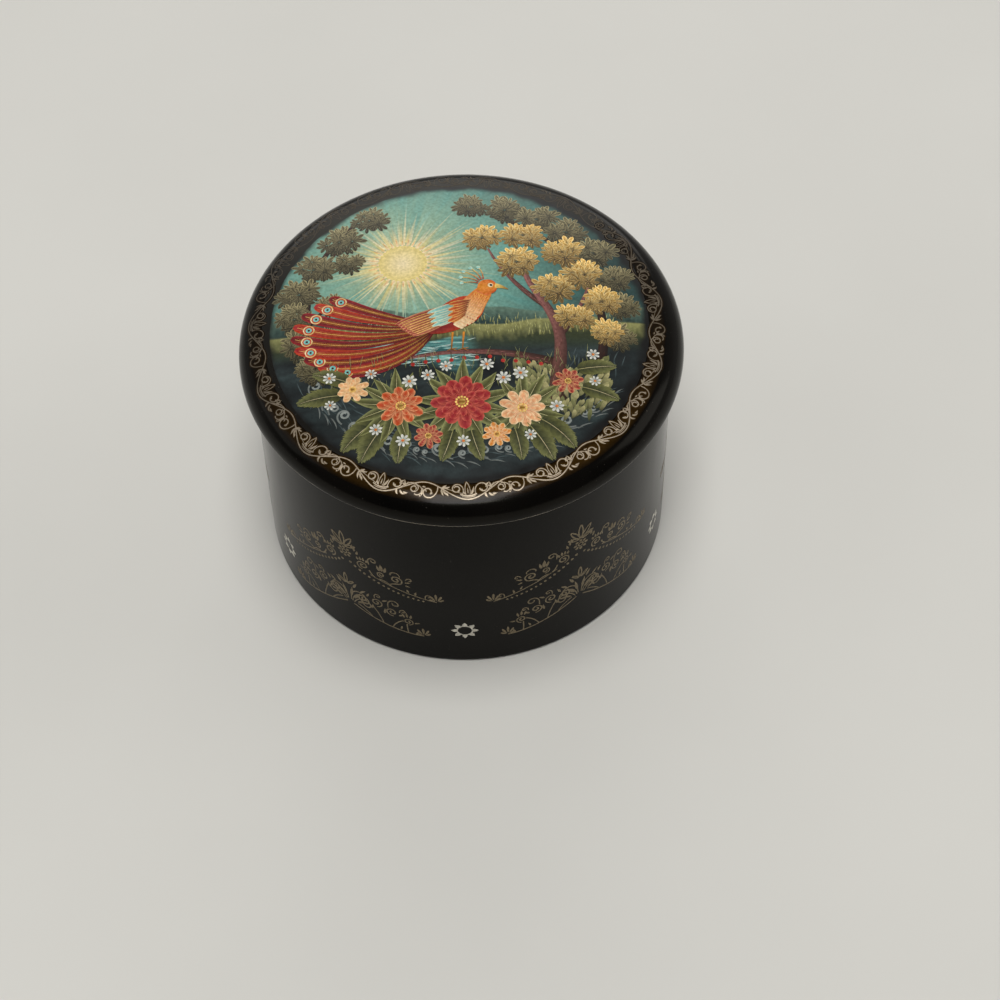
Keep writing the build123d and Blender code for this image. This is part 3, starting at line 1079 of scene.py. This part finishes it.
# Daisies are x, y.
DAISIES = (
    (-13.2, -9.4), (-19.5, -9.6), (-19.4, -14.6), (-12.6, -19.6), (-8.6, -21.8), (0.4, -22.4),
    (10.4, -21.6), (14.6, -16.6), (20.6, -12.0), (6.8, -11.2), (9.4, -10.4), (-4.6, -10.2),
    (-7.4, -11.2), (20.6, -7.0), (-1.8, -8.7), (4.4, -8.6),
)
# Rings of the eye on a plume are radius, colour, colour at the rim.
PLUME_EYE = ((0.92, CREAM, GOLD), (0.72, ORANGE_RED, None), (0.5, TURQUOISE, TEAL), (0.2, WINE, None))


def picture_ground(points):
    """Colours under the strokes, by plan place: sky lit from the sun, hills, water and dark earth."""
    x, y = points[:, 0] / mm - PAINTING_SHIFT, points[:, 1] / mm
    away, turn = np.hypot(x - SUN[0], y - SUN[1]), np.degrees(np.arctan2(y - SUN[1], x - SUN[0]))
    streak = 0.6 * mottle(turn / 5 + 40, away / 9 + 7, 3) + 0.4 * mottle(turn / 1.7 + 80, away / 5 + 3, 4)
    sky = mix(TEAL, DEEP_TEAL, ease(9, 34, away + 8 * (streak - 0.5)))
    sky = mix(sky, PALE_YELLOW, np.exp(-away / 7.5) * np.clip(0.35 + 1.1 * streak, 0, 1))
    sky = mix(sky, TURQUOISE, 0.6 * ease(0.5, 0.85, streak) * np.exp(-away / 15))
    slant = mottle((x + 1.6 * y) / 3.2 + 20, (y - 0.3 * x) / 0.7 + 20, 41)
    cloud = mottle(x / 5 + 3, y / 3 + 5, 42)
    earth = mix(colour(14, 17, 18), colour(52, 64, 64), np.clip(0.75 * cloud * (0.5 + slant), 0, 1))
    horizon = y + 1.2 * np.sin(x / 4) + 1.5 * (mottle(x / 2, y / 2, 5) - 0.5)
    tones = mix(earth, sky, ease(-3.5, -1.0, horizon))
    hills = (
        (11, 1.0, 3.2, colour(104, 130, 112), colour(38, 56, 52)),
        (12, -1.6, 3.0, colour(158, 156, 98), colour(50, 56, 34)),
    )
    for seed, foot, height, light, dark in hills:
        top = foot + height * mottle(x / 6.5 + seed, 0 * x + 0.5, seed)
        grain = mottle(x / 0.35, (top - y) / 1.2, seed + 5)
        depth = np.clip(0.15 + 0.25 * np.clip(top - y, 0, 4) + 0.35 * (grain - 0.5), 0, 1)
        tones = mix(tones, mix(light, dark, depth), ease(0, 0.35, top - y) * ease(-6.5, -3.0, y))
    bank = -3.2 + 0.7 * np.sin(x / 3.1 + 0.8)
    shore = y + 0.35 * x + 0.6 * np.sin(x / 2.3)
    lake = ease(0, 0.5, bank - y) * ease(-11.0, -7.5, shore) * ease(-4.0, 1.0, -x)
    ripple = mottle(x / 2.4 + 5, y / 0.32, 21)
    tones = mix(tones, mix(colour(40, 92, 94), TURQUOISE, ripple**1.4), 0.85 * lake)
    edge = np.hypot(x, y) + 0.9 * (mottle(x / 1.6 + 9, y / 1.6, 31) - 0.5)
    return mix(tones, LACQUER_BLACK, ease(PICTURE_EDGE - 1.3, PICTURE_EDGE, edge))


def paint_ground():
    """The picture layer: its domed top carries the ground colours, its underside fits the recess."""
    top = dome_line(0, PICTURE_RADIUS, picture_height, 136)
    under = dome_line(0, PICTURE_RADIUS, recess_height, 8)
    layer, facets = outlined(under, 3, top[::-1]), 2 * AROUND
    piece = turned("picture_ground", layer, PICTURE_PAINT, "lid_picture", "lid", picture_ground, facets)


def paint_sun():
    """Sun: tapering rays, a disc that pales to its middle, and a crown of short points."""
    paint = Brushwork(on_picture, SUN_LEVEL, seed=7)
    count = 110
    turn = 360 / count * np.arange(count) + 3 * paint.random.standard_normal(count)
    way = polar((0, 0), 1, turn)
    foot = SUN + (SUN_RADIUS - 0.5 + 1.2 * paint.chance(count))[:, None] * way
    out = (foot * way).sum(1)
    room = np.sqrt(out**2 + (PICTURE_EDGE - 0.8) ** 2 - (foot**2).sum(1)) - out
    length = np.minimum(5 + 9 * paint.chance(count) ** 2, room)
    tone = mix(CREAM, PALE_YELLOW, paint.chance(count))
    width = 0.14 + 0.16 * paint.chance(count)
    paint.lay(foot, turn, length, width, tone, TEAL, form=taper, points=16)
    line, angle = brush_lines([SUN + (SUN_RADIUS / 2, 0)], 90, np.pi * SUN_RADIUS, 360, points=73)
    tones = mix(PALE_YELLOW, CREAM, np.linspace(0, 1, 7))
    paint.ribbon(line, angle, np.full(angle.shape, SUN_RADIUS / 2), np.broadcast_to(tones, (1, 73, 7, 3)))
    turn = 360 / 32 * np.arange(32)
    length = 1.3 + 0.5 * (np.arange(32) % 2)
    paint.lay(polar(SUN, SUN_RADIUS - 0.15, turn), turn, length, 0.2, CREAM, ORANGE, form=taper, points=6)
    paint.piece("picture_sun", PICTURE_PAINT, "lid", "picture_paint")


def paint_tufts(paint, tufts, dark, light, rim):
    """Tufts of leaves, each given as x, y, radius, facing and how well it is lit.

    About each tuft's middle lie three rows of lobes, each row shorter and laid over the last, with a pale
    vein in each lobe. Lower tufts are laid over upper ones.
    """
    tufts = np.asarray(tufts, float)
    tufts = tufts[np.argsort(-tufts[:, 1])]
    middle = tufts[:, :2].T[..., None]
    stack = 1.2 * (np.arange(len(tufts)) % 12)[:, None]
    base = paint.level
    for row in range(3):
        lobes = 9 - 2 * row
        shape = (len(tufts), lobes)
        turn = tufts[:, 3:4] + 300 * (np.linspace(0, 1, lobes) - 0.5) + 6 * paint.either(shape)
        reach = tufts[:, 2:3] * (1 - 0.28 * row) * paint.vary(shape, 0.16)
        foot = polar(middle, 0.06 * reach, turn).reshape(-1, 2)
        vein = polar(middle, 0.3 * reach, turn).reshape(-1, 2)
        bend = 16 * paint.either(lobes * len(tufts))
        over = (stack + 0.34 * row + 0 * turn).ravel()
        lit = tufts[:, 4:] * (0.8 + 0.3 * np.sin(np.radians(turn))) * paint.vary(shape, 0.12)
        turn, reach, lit = turn.ravel(), reach.ravel(), lit.reshape(-1, 1)
        paint.level = base
        paint.lay(foot, turn, reach, 0.2 * reach, dark, light * lit, rim * lit, petal, 8, 5, stack=over,
                  fade=1.5, bend=bend)
        paint.level = base
        width = 0.012 * reach + 0.018
        paint.lay(vein, turn, 0.55 * reach, width, light, rim, points=5, stack=over + 0.17)
    paint.level = base + 16


def clump(paint, clumps, tufts, spread, radius):
    """Tufts scattered about the middle of each clump, facing away from it and lit from above."""
    middle = np.repeat(np.asarray(clumps, float), tufts, 0)
    k = np.arange(len(middle)) % tufts
    a = 360 / (tufts - 1) * k + 25 * paint.either(len(k))
    out = np.where(k == 0, 0, spread) * paint.vary(len(k), 0.15) * middle[:, 2]
    x, y = polar((0, 0), 1, a).T * out
    size = radius * middle[:, 2] * paint.vary(len(k), 0.15)
    lit = 1 + np.where(k == 0, 0, 0.5 * np.sin(np.radians(a)))
    return np.stack([middle[:, 0] + x, middle[:, 1] + 0.8 * y, size, a, lit], -1)


def paint_limb(paint, x, y, heading, length, bend, sway, width, root, tip):
    """Limb of a tree: a tapering stroke shaded across its width, with streaks of bark along it."""
    paint.lay([(x, y)], heading, length, width, root, tip, form=narrowing(0.7), points=50, across=5,
              shade=(0.4, 0.75, 1.0, 1.4, 0.9), bend=bend, sway=sway)
    line, angle = brush_lines([(x, y)], heading, length, bend, 0, sway, points=101)
    at = np.arange(5, 90, 3)
    off = width * (1 - 0.007 * at) * paint.random.uniform(-0.6, 0.6, len(at))
    bark = line[0, at] + left_of(angle[0, at]) * off[:, None]
    paint.lay(bark, np.degrees(angle[0, at]), 1.1, 0.06, WINE, 1.5 * tip, form=leaf, points=6)


def paint_thicket():
    """Dark trees at both sides, and a bank of pale moss under the gold one."""
    paint = Brushwork(on_picture, THICKET_LEVEL, seed=12)
    for limb in THICKET_LIMBS:
        paint_limb(paint, *limb, 0.5 * BROWN, 0.8 * BROWN)
    tufts = clump(paint, THICKET_CLUMPS, tufts=7, spread=1.8, radius=1.65)
    paint_tufts(paint, tufts, colour(12, 12, 9), colour(72, 66, 42), colour(172, 160, 118))
    count = 220
    along, deep = paint.chance(count), np.sort(paint.chance(count))
    foot = np.stack([8.5 + 15 * along, -6.5 - 9 * deep - 2 * np.sin(3 * along)], -1)
    tone = mix(colour(198, 188, 134), colour(120, 122, 76), paint.chance(count))
    paint.scatter(foot, -70 - 60 * along, 18, 1.6, 1.6, 0.34, tone, DARK_OLIVE, 30, points=8,
                  stack=0.03 * np.arange(count))
    paint.piece("picture_thicket", PICTURE_PAINT, "lid", "picture_paint")


def paint_land():
    """Grass on the hills, light on the water, strokes of dark earth, and rows of cloud scrolls over it."""
    paint = Brushwork(on_picture, LAND_LEVEL, seed=8)
    count = 300
    x = np.linspace(-22, 24, count) + 0.4 * paint.random.standard_normal(count)
    foot = np.stack([x, -3.2 + 3.6 * paint.chance(count)], -1)
    paint.scatter(foot, 90, 15, 0.6, 1, 0.07, OLIVE, colour(214, 210, 146), form=taper, points=5)
    count = 70
    foot = np.stack([paint.random.uniform(-16, 2, count), paint.random.uniform(-9, -3.8, count)], -1)
    heading = 8 * paint.random.standard_normal(count)
    length = 1.2 + 2.2 * paint.chance(count)
    paint.lay(foot, heading, length, 0.06, TURQUOISE, WHITE, points=9, bend=15 * paint.either(count))
    count = 260
    a = paint.random.uniform(200, 340, count)
    foot = polar((0, 0), paint.random.uniform(17, 26.5, count), a)
    paint.scatter(foot, a + 90, 20, 1.5, 2.5, 0.09, colour(30, 40, 42), colour(92, 106, 106), 30, points=9)
    for x, y, size, turn, count in CLOUDS:
        paint.level = CLOUD_LEVEL
        k = np.arange(count)
        row = np.array([x, y]) + (1.15 * size * (k - (count - 1) / 2))[:, None] * polar((0, 0), 1, turn)
        row[:, 1] += 0.25 * size * np.cos(2.1 * k)
        length = size * (3.4 + 0.7 * np.cos(1.7 * k))
        paint.lay(row, turn + 170, length, 0.085 * size + 0.03, 0.5 * GREY, 0.95 * GREY, form=line_form,
                  points=26, bend=-120, curl=-420)
        foot, heading = row + (0.1 * size, -0.35 * size), turn + 8 * (k - count / 2)
        paint.lay(foot, heading, 1.6 * size, 0.07 * size, 0.3 * GREY, 0.7 * GREY, points=10, bend=-40)
    paint.piece("picture_land", PICTURE_PAINT, "lid", "picture_paint")


def paint_tree():
    """Tree: swaying limbs shaded across their width, and clumps of golden leaves."""
    paint = Brushwork(on_picture, TREE_LEVEL, seed=9)
    for limb in TREE_LIMBS:
        paint_limb(paint, *limb, BROWN, MAUVE)
    tufts = clump(paint, TREE_CLUMPS, tufts=7, spread=1.75, radius=1.75)
    paint_tufts(paint, tufts, colour(48, 28, 12), colour(196, 146, 58), colour(246, 222, 156))
    paint.piece("picture_tree", PICTURE_PAINT, "lid", "picture_paint")


def paint_tail(paint):
    """Tail: nine plumes that fan out and bend up, each with barbs, a gold shaft and an eye at its tip."""
    k = np.linspace(0, 1, 9)
    roots = np.stack([-3.6 + 0.2 * np.cos(3 * k), -0.6 - 1.6 * k], -1)
    heading, length, bend = 166 + 76 * k, 17.5 + 5.0 * np.sin(np.pi * k), -18 - 62 * k
    for place, i in enumerate((0, 8, 1, 7, 2, 6, 3, 5, 4)):
        paint.level = TAIL_LEVEL + 2 * place
        base, rim = (CRIMSON, ORANGE_RED) if i % 2 else (MAROON, CRIMSON)
        paint.lay(roots[i], heading[i], length[i], 1.15, WINE, base, rim, plume, 40, 7, bend=bend[i])
        line, angle = brush_lines(roots[i], heading[i], length[i], bend[i], points=61)
        at = np.repeat(np.arange(8, 56), 2)
        side = np.tile([1, -1], len(at) // 2)
        barb = 0.45 + 0.8 * (at / 60)
        paint.lay(line[0, at], np.degrees(angle[0, at]) + 34 * side, barb, 0.034, ORANGE_RED, GOLD,
                  form=taper, points=5, bend=-26 * side)
        paint.lay(roots[i], heading[i], 0.97 * length[i], 0.07, OCHRE, BRIGHT_GOLD,
                  form=lambda t: 1.1 - 0.6 * t, points=40, bend=0.97 * bend[i])
        for radius, tone, rim in PLUME_EYE:
            paint.dots([line[0, 53]], radius, tone, rim, 14)


def paint_breast(paint):
    """Legs, body and neck, with rows of scales up the breast."""
    paint.level = BREAST_LEVEL
    paint.lay([(-0.6, -2.2), (1.1, -2.2)], -95, 3.3, 0.16, ORANGE, OCHRE, form=narrowing(0.4), points=6)
    for x in (-0.8, 0.9):
        paint.lay([(x, -5.45)] * 3, (-160, -30, 10), 0.9, 0.1, OCHRE, ORANGE, form=taper, points=5)
    paint.lay([(-5.0, -1.7)], 27, 10.6, 2.95, MAROON, CRIMSON, ORANGE_RED, bird_body, 40, 9, bend=12)
    paint.lay([(1.6, 1.2)], 62, 6.2, 2.1, PEACH, ORANGE_RED, ORANGE, bird_neck, 30, 7, bend=-10)
    grid = np.meshgrid(np.linspace(0, 1, 12), np.linspace(-0.8, 0.8, 7), indexing="ij")
    up, out = [v.ravel() for v in grid]
    line, angle = brush_lines([(0.6, -0.6)], 55, 7.6, 8, points=80)
    at = (72 * up).astype(int)
    off = out * (2.15 - 0.85 * up) * (0.4 + 0.6 * ease(0, 0.32, up))
    scale = line[0, at] + left_of(angle[0, at]) * off[:, None]
    paint.lay(scale, np.degrees(angle[0, at]) + 180 + 14 * out, 0.8, 0.3, mix(PEACH, ORANGE, up),
              mix(CREAM, ORANGE_RED, up), mix(CREAM, BRIGHT_GOLD, up), petal, 8, 5)


def paint_wing(paint):
    """Wing: long quills with gold shafts, and over their roots two shorter rows."""
    k = np.linspace(0, 1, 8)
    stack, ripple = 0.9 * (1 - k), np.cos(np.pi * 7 * k)
    shoulder = np.stack([1.4 - 1.2 * k, 3.3 - 2.0 * k], -1)
    fan = dict(start=shoulder, heading=190 + 26 * k, bend=16 - 30 * k, stack=stack)
    paint.lay(length=11.4 - 3.4 * k, width=0.62, root=WINE, tip=CRIMSON, edge=PEACH, form=quill, points=24,
              across=7, **fan)
    paint.lay(length=10.6 - 3.4 * k, width=0.05, root=GOLD, tip=BRIGHT_GOLD, form=even, points=16, **fan)
    foot, length = np.stack([1.9 - k, 3.8 - 2.4 * k], -1), 6.2 - 1.4 * k + 0.5 * ripple
    paint.lay(foot, 192 + 24 * k, length, 0.5, colour(36, 84, 88), TURQUOISE, CREAM, quill, 18, 7,
              stack=stack, bend=12 - 22 * k)
    foot, length = np.stack([2.4 - 0.8 * k, 4.1 - 2.7 * k], -1), 3.2 + 0.4 * ripple
    paint.lay(foot, 192 + 24 * k, length, 0.46, MAROON, ORANGE_RED, BRIGHT_GOLD, petal, 12, 7, stack=stack)


def paint_head(paint):
    """Head with a beak and an eye, and a crest of stalks with a round dab at each tip."""
    paint.dots([(5.0, 6.7)], 1.55, ORANGE, ORANGE_RED, 24)
    paint.lay([(6.2, 6.9)], -8, 2.3, 0.5, BRIGHT_GOLD, OCHRE, form=taper, bend=-30)
    paint.dots([(5.5, 7.05)], 0.42, CREAM)
    paint.dots([(5.6, 7.05)], 0.22, LACQUER_BLACK)
    turn = np.array([100, 118, 136, 154, 172.0])
    stalks = dict(start=polar((4.6, 7.4), 1.0, turn), heading=turn - 14, length=(2.6, 3.0, 3.2, 3.0, 2.6),
                  bend=38, points=12)
    paint.lay(width=0.11, root=CRIMSON, tip=BRIGHT_GOLD, form=narrowing(0.5), **stalks)
    paint.dots(brush_lines(**stalks)[0][:, -1], 0.34, TURQUOISE, CREAM)


def paint_bird():
    """Bird: tail, breast, wing and head, each laid over the last."""
    paint = Brushwork(on_picture, TAIL_LEVEL, seed=10)
    paint_tail(paint)
    paint_breast(paint)
    paint_wing(paint)
    paint_head(paint)
    paint.piece("picture_bird", PICTURE_PAINT, "lid", "picture_paint")


def paint_bloom(paint, centre, radius, deep, light, rim, petals, rows):
    """Flower: rows of broad petals, each row smaller, with veins in each petal, and a ring of stamens."""
    for row in range(rows):
        reach, count = radius * (1 - 0.23 * row), petals - row
        turn = 17 * row + 20 * paint.chance() + 360 / count * np.arange(count) + 3 * paint.either(count)
        foot, length = polar(centre, 0.05 * radius, turn), reach * paint.vary(count, 0.07)
        paint.lay(foot, turn, length, 0.36 * reach, deep, light, rim, broad_petal, 14, 7,
                  bend=7 * paint.either(count))
        vein = np.concatenate([turn - 9, turn, turn + 9])
        heading = vein + np.repeat([3.6, 0, -3.6], count)
        width = 0.03 + 0.006 * radius
        paint.lay(polar(centre, 0.3 * reach, vein), heading, 0.52 * reach, width, light, rim, points=6)
    paint.dots(polar(centre, 0.2 * radius, 30 * np.arange(12)), 0.045 * radius, BRIGHT_GOLD, points=6)
    paint.dots([centre], 0.13 * radius, OCHRE, BRIGHT_GOLD)


def paint_fronds(paint):
    """Fern fronds: a midrib with pairs of leaflets that shorten to its tip."""
    for x, y, heading, length, bend in FRONDS:
        line, angle = brush_lines([(x, y)], heading, length, bend, points=41)
        at = np.repeat(np.arange(4, 40, 2), 2)
        side = np.tile([1, -1], len(at) // 2)
        t = at / 40
        turn = np.degrees(angle[0, at]) + side * (62 - 22 * t)
        reach = 0.3 * length * np.sin(np.pi * (0.12 + 0.86 * t) ** 0.8) * paint.vary(len(at), 0.1) + 0.2
        tip = 0.7 * mix(OLIVE, PALE_GREEN, 0.6 * t)
        paint.lay(line[0, at], turn, reach, 0.14 * reach + 0.05, DARK_OLIVE, tip, points=7, bend=-24 * side)
        paint.lay([(x, y)], heading, length, 0.08, OLIVE, CREAM, form=taper, points=24, bend=bend)


def paint_berries(paint):
    """Berries that hang on short stalks along the branch."""
    x, y, heading, length, bend = BRANCH[:5]
    twig = brush_lines([(x, y)], heading, length, bend, points=27)[0][0, 3:25:2]
    drop = paint.random.uniform(0.8, 1.7, len(twig))
    paint.lay(twig, -90, drop, 0.06, BROWN, OLIVE, form=even, points=4)
    paint.dots(twig - np.stack([0 * drop, drop], -1), 0.34, CRIMSON, ORANGE_RED, 10)


def paint_leaf_fans(paint):
    """Fans of leaves under the large blooms, each leaf with a pale vein."""
    for x, y, count, first, spread, length in LEAF_FANS:
        paint.level = LEAF_LEVEL
        turn = first + spread * (np.linspace(0, 1, count) - 0.5)
        reach = length * paint.vary(count, 0.15)
        paint.lay(polar((x, y), 1.0, turn), turn, reach, 0.15 * length, DARK_OLIVE, 0.55 * OLIVE,
                  0.8 * PALE_GREEN, leaf, 14, 5, bend=20 * paint.either(count))
        vein = polar((x, y), 1.2, turn)
        paint.lay(vein, turn, 0.8 * length, 0.05, PALE_GREEN, CREAM, form=taper, points=8)


def paint_daisy(paint, centre):
    """Daisy: eight white petals round a gold-rimmed dab."""
    radius = paint.random.uniform(0.75, 1.1)
    turn = EIGHTHS + 20 * paint.chance()
    paint.lay(polar(centre, 0.15, turn), turn, radius, 0.24 * radius, GREY, WHITE, form=petal, points=7)
    paint.dots([centre], 0.26 * radius, ORANGE_RED, BRIGHT_GOLD, 8)


def paint_flowers():
    """Flowers on the bank: fronds, grass, berries along the branch, leaves, blooms and daisies."""
    paint = Brushwork(on_picture, FROND_LEVEL, seed=11)
    paint_fronds(paint)
    paint.level = GRASS_LEVEL
    count = 150
    foot = np.stack([paint.random.uniform(-20, 20, count), paint.random.uniform(-13, -7, count)], -1)
    paint.scatter(foot, 90, 25, 0.8, 1.5, 0.06, DARK_OLIVE, PALE_GREEN, 30, form=taper, points=7)
    paint_berries(paint)
    paint_leaf_fans(paint)
    for x, y, *rest in BLOOMS:
        paint.level = BLOOM_LEVEL
        paint_bloom(paint, (x, y), *rest)
    for centre in DAISIES:
        paint.level = DAISY_LEVEL
        paint_daisy(paint, centre)
    paint.piece("picture_flowers", PICTURE_PAINT, "lid", "picture_paint")


build_body()
build_lid()
glaze_border()
gild_border("border_size", GOLD_SIZE, GLAZE, spread=0.14, level=3, bead=0.0, reach=GLAZE_REACH)
gild_border("border_gold", BORDER_GOLD, GILDING, spread=-0.04, level=9, bead=BEAD, reach=180)
paint_edge_highlight()
gild_upper_garland()
gild_lower_garland()
paint_stars()
paint_ground()
paint_sun()
paint_thicket()
paint_land()
paint_tree()
paint_bird()
paint_flowers()


# Table top, light and camera

TABLE_REACH = 2.0
FRAME_WIDTH = 36.0  # millimetres
LENS = 88.29  # millimetres, on that frame
CAMERA_DISTANCE = 0.41337
CAMERA_PITCH = 0.9453  # radians below the level, from the camera to the foot's middle
AIM_PITCH = 0.9474
AIM_YAW = 0.0226
CAMERA_ROLL = -0.0216
# Room light: how far backwards it comes from, least and most, and its strength there
ROOM_SPREAD = (-0.5, 0.3, 0.05, 0.44)


def table_top():
    """Flat table top under the foot, pale and warm grey with a faint cloudiness."""
    finish = Finish("table_top")
    clouds = finish.ranged(finish.grain(9, 6), 0.3, 0.7, 0, 1)
    finish.coloured(finish.blended(clouds, colour(206, 204, 197), colour(212, 210, 203)))
    finish.fixed(Roughness=0.6)
    corners = TABLE_REACH * np.array([(-1, -1, 0), (1, -1, 0), (1, 1, 0), (-1, 1, 0)], float)
    table = new_mesh("table_top", corners, np.array([[0, 1, 2, 3]]), finish.material)


def soft_light(name, place, aim, width, height, watts):
    """Rectangular soft light at a place, turned to its aim."""
    lamp = bpy.data.lights.new(name, "AREA")
    lamp.shape, lamp.size, lamp.size_y, lamp.energy = "RECTANGLE", width, height, watts
    light = bpy.data.objects.new(name, lamp)
    light.location = place
    light.rotation_euler = (Vector(aim) - Vector(place)).to_track_quat("-Z", "Y").to_euler()
    bpy.context.scene.collection.objects.link(light)


def room_light():
    """Room light: strongest from low at the back, weaker from the sides, weakest from the front."""
    world = bpy.data.worlds.new("room")
    world.use_nodes = True
    tree = world.node_tree
    room = tree.nodes["Background"]
    way = tree.nodes.new("ShaderNodeTexCoord")
    backward = tree.nodes.new("ShaderNodeVectorMath")
    backward.operation = "DOT_PRODUCT"
    backward.inputs[1].default_value = (0, 1, -1)
    spread = tree.nodes.new("ShaderNodeMapRange")
    for socket, value in zip(spread.inputs[1:5], ROOM_SPREAD):
        socket.default_value = value
    tree.links.new(way.outputs["Generated"], backward.inputs[0])
    tree.links.new(backward.outputs["Value"], spread.inputs["Value"])
    tree.links.new(spread.outputs["Result"], room.inputs["Strength"])
    room.inputs["Color"].default_value = (1.0, 0.99, 0.97, 1)
    bpy.context.scene.world = world


def camera():
    """Camera at the photograph's place: fitted to the outline of the lid and body."""
    data = bpy.data.cameras.new("camera")
    data.lens, data.sensor_width, data.clip_start = LENS, FRAME_WIDTH, 0.01
    eye = bpy.data.objects.new("camera", data)
    forward = Vector((sin(AIM_YAW) * cos(AIM_PITCH), cos(AIM_YAW) * cos(AIM_PITCH), -sin(AIM_PITCH)))
    level = forward.cross(Vector((0, 0, 1))).normalized()
    upright = level.cross(forward)
    right = level * cos(CAMERA_ROLL) + upright * sin(CAMERA_ROLL)
    up = upright * cos(CAMERA_ROLL) - level * sin(CAMERA_ROLL)
    eye.location = (0, -CAMERA_DISTANCE * cos(CAMERA_PITCH), CAMERA_DISTANCE * sin(CAMERA_PITCH))
    eye.rotation_euler = Matrix((right, up, -forward)).transposed().to_euler()
    bpy.context.scene.collection.objects.link(eye)
    bpy.context.scene.camera = eye


table_top()
room_light()
soft_light("ceiling", (-0.02, -0.26, 1.4), (0, 0, 0), width=0.5, height=1.0, watts=15.4)
soft_light("back_window", (0, 1.34, 0.68), (0, 0, 0.03), width=1.3, height=0.5, watts=5.0)
soft_light("left_window", (-1.1, 0.1, 0.75), (0, 0, 0.03), width=0.7, height=0.7, watts=1.2)
soft_light("right_window", (1.1, 0.1, 0.75), (0, 0, 0.03), width=0.7, height=0.7, watts=2.0)
camera()
bpy.context.scene.view_settings.view_transform = "Standard"
